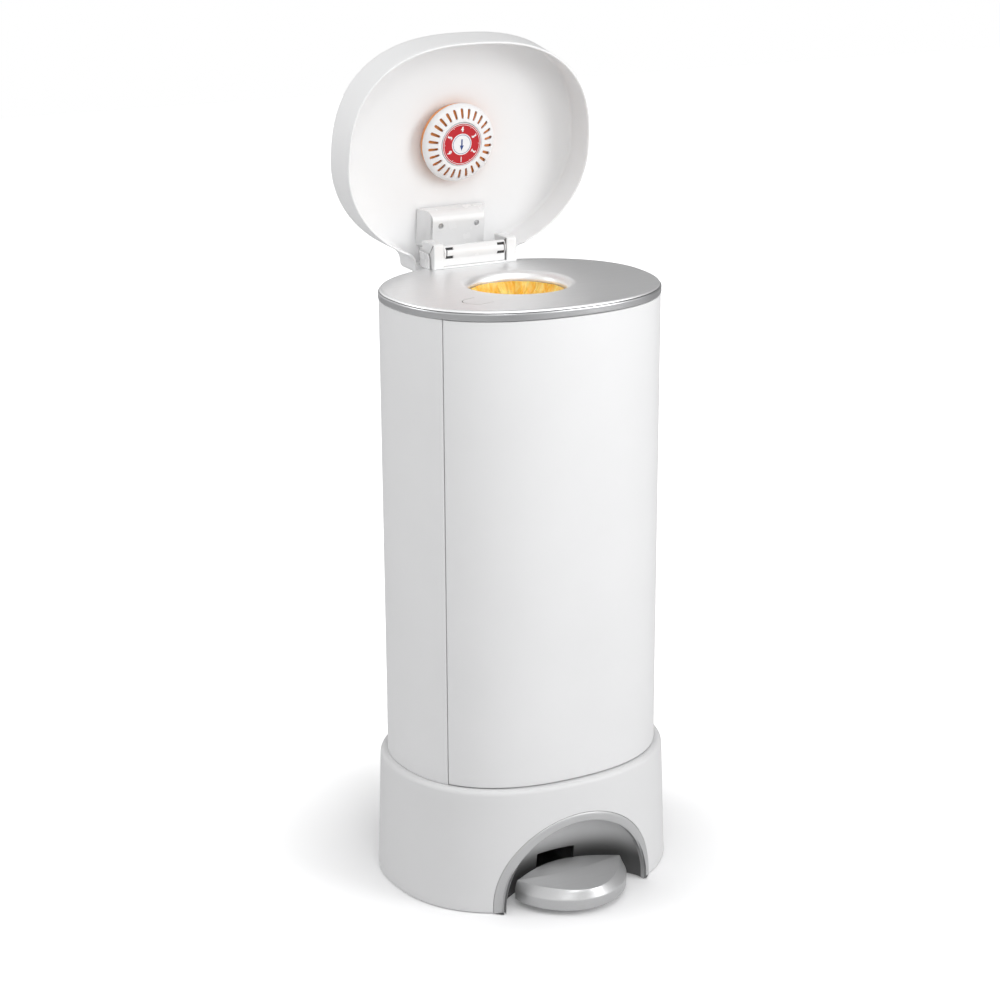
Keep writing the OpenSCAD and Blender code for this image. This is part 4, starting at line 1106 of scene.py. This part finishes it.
# ---- Stage, light and camera ----
def floor():
    """White floor: pure white to the camera further out, and with the bin's shadow near it."""
    white = bpy.data.materials.new("floor_white")
    white.use_nodes = True
    tree = white.node_tree
    shader = tree.nodes["Principled BSDF"].inputs
    shader["Base Color"].default_value = (0.86, 0.86, 0.865, 1)
    shader["Roughness"].default_value = 0.85
    shader["Specular IOR Level"].default_value = 0.1
    shader["Emission Color"].default_value = (1, 1, 1, 1)
    coord = tree.nodes.new("ShaderNodeTexCoord")
    away = tree.nodes.new("ShaderNodeVectorMath")
    away.operation = "LENGTH"
    tree.links.new(coord.outputs["Object"], away.inputs[0])
    near, far = 0.15, 0.5
    glow = ranged(tree, away.outputs["Value"], near, far, 0.1, 1.0)
    rays = tree.nodes.new("ShaderNodeLightPath").outputs
    shown = joined(tree, "MULTIPLY", glow, rays["Is Camera Ray"])
    tree.links.new(shown, shader["Emission Strength"])
    half = 6.0
    corners = [(-half, -half, 0), (half, -half, 0), (half, half, 0), (-half, half, 0)]
    mesh = bpy.data.meshes.new("floor")
    mesh.from_pydata(corners, [], [(0, 1, 2, 3)])
    mesh.materials.append(white)
    obj = bpy.data.objects.new("floor", mesh)
    bpy.context.scene.collection.objects.link(obj)


def studio():
    """White world, with a darker side behind the bin on its right that the camera doesn't see."""
    world = bpy.data.worlds.new("studio")
    bpy.context.scene.world = world
    world.use_nodes = True
    tree = world.node_tree
    rays = tree.nodes.new("ShaderNodeLightPath").outputs
    seen = joined(tree, "MAXIMUM", rays["Is Camera Ray"], rays["Is Glossy Ray"])
    seen = joined(tree, "MAXIMUM", seen, rays["Is Transmission Ray"])
    soft_light, white = 0.52, 1.0
    strength = ranged(tree, seen, 0.0, 1.0, soft_light, white)
    place = tree.nodes.new("ShaderNodeTexCoord")
    toward = tree.nodes.new("ShaderNodeVectorMath")
    toward.operation = "DOT_PRODUCT"
    toward.inputs[1].default_value = Vector((0.75, 0.6, 0.25)).normalized()
    tree.links.new(place.outputs["Generated"], toward.inputs[0])
    dark_side = 0.33
    side = ranged(tree, toward.outputs["Value"], 0.45, 0.9, 1.0, dark_side, "SMOOTHSTEP")
    lit = joined(tree, "MAXIMUM", side, rays["Is Camera Ray"])
    background = tree.nodes["Background"].inputs
    background["Color"].default_value = (1, 1, 1, 1)
    tree.links.new(joined(tree, "MULTIPLY", strength, lit), background["Strength"])


def lamp(name, at, target, size, power):
    data = bpy.data.lights.new(name, "AREA")
    data.shape = "RECTANGLE"
    data.size, data.size_y = size
    data.energy = power
    obj = bpy.data.objects.new(name, data)
    bpy.context.scene.collection.objects.link(obj)
    obj.location = at
    obj.rotation_euler = (Vector(target) - Vector(at)).to_track_quat("-Z", "Y").to_euler()


def lights():
    lamp("key", (1.7, -2.3, 1.5), (0, 0, 0.4), (1.3, 1.7), 36)
    lamp("top", (-0.1, -0.9, 2.7), (0, 0, 0.6), (1.6, 1.3), 9)
    lamp("left", (-2.0, 1.0, 1.7), (0, 0, 0.8), (1.0, 1.0), 12)
    lamp("lid_fill", (-0.5, -1.5, 1.9), (0.03, 0.12, 0.78), (0.6, 0.6), 6)


def camera():
    """The camera that a fit of the bin's outlines to the picture gives."""
    unit = 24.6                       # millimetres in the fit's unit
    azimuth, elevation, roll = (math.radians(v) for v in (-27.87, 17.43, -0.28))
    focal, principal, image = 2274.0, (501.6, 498.0), 1000
    offset = Vector((0.704, -4.466, -99.447))
    ca, sa, ce, se = math.cos(azimuth), math.sin(azimuth), math.cos(elevation), math.sin(elevation)
    right, up = Vector((ca, sa, 0)), Vector((-sa * se, ca * se, ce))
    back = Vector((sa * ce, -ca * ce, se))
    cr, sr = math.cos(roll), math.sin(roll)
    right, up = cr * right + sr * up, -sr * right + cr * up
    rows = Matrix((right, up, back))
    place = (Vector((0, 0, 12)) - rows.transposed() @ offset) * unit * MM
    data = bpy.data.cameras.new("camera")
    data.sensor_width = 36
    data.lens = focal * data.sensor_width / image
    data.shift_x = (image / 2 - principal[0]) / image
    data.shift_y = (principal[1] - image / 2) / image
    data.clip_start, data.clip_end = 0.05, 50
    obj = bpy.data.objects.new("camera", data)
    bpy.context.scene.collection.objects.link(obj)
    obj.matrix_world = Matrix.Translation(place) @ rows.transposed().to_4x4()
    bpy.context.scene.camera = obj


camera()
floor()
studio()
lights()
body_shell()
door()
base()
recess()
pedal()
deck()
rim()
release_button()
film()
lid()
hinge_block()
hinge_on_deck()
deodoriser()
return_spring()
finish_nodes()
bpy.context.scene.view_settings.view_transform = "Standard"
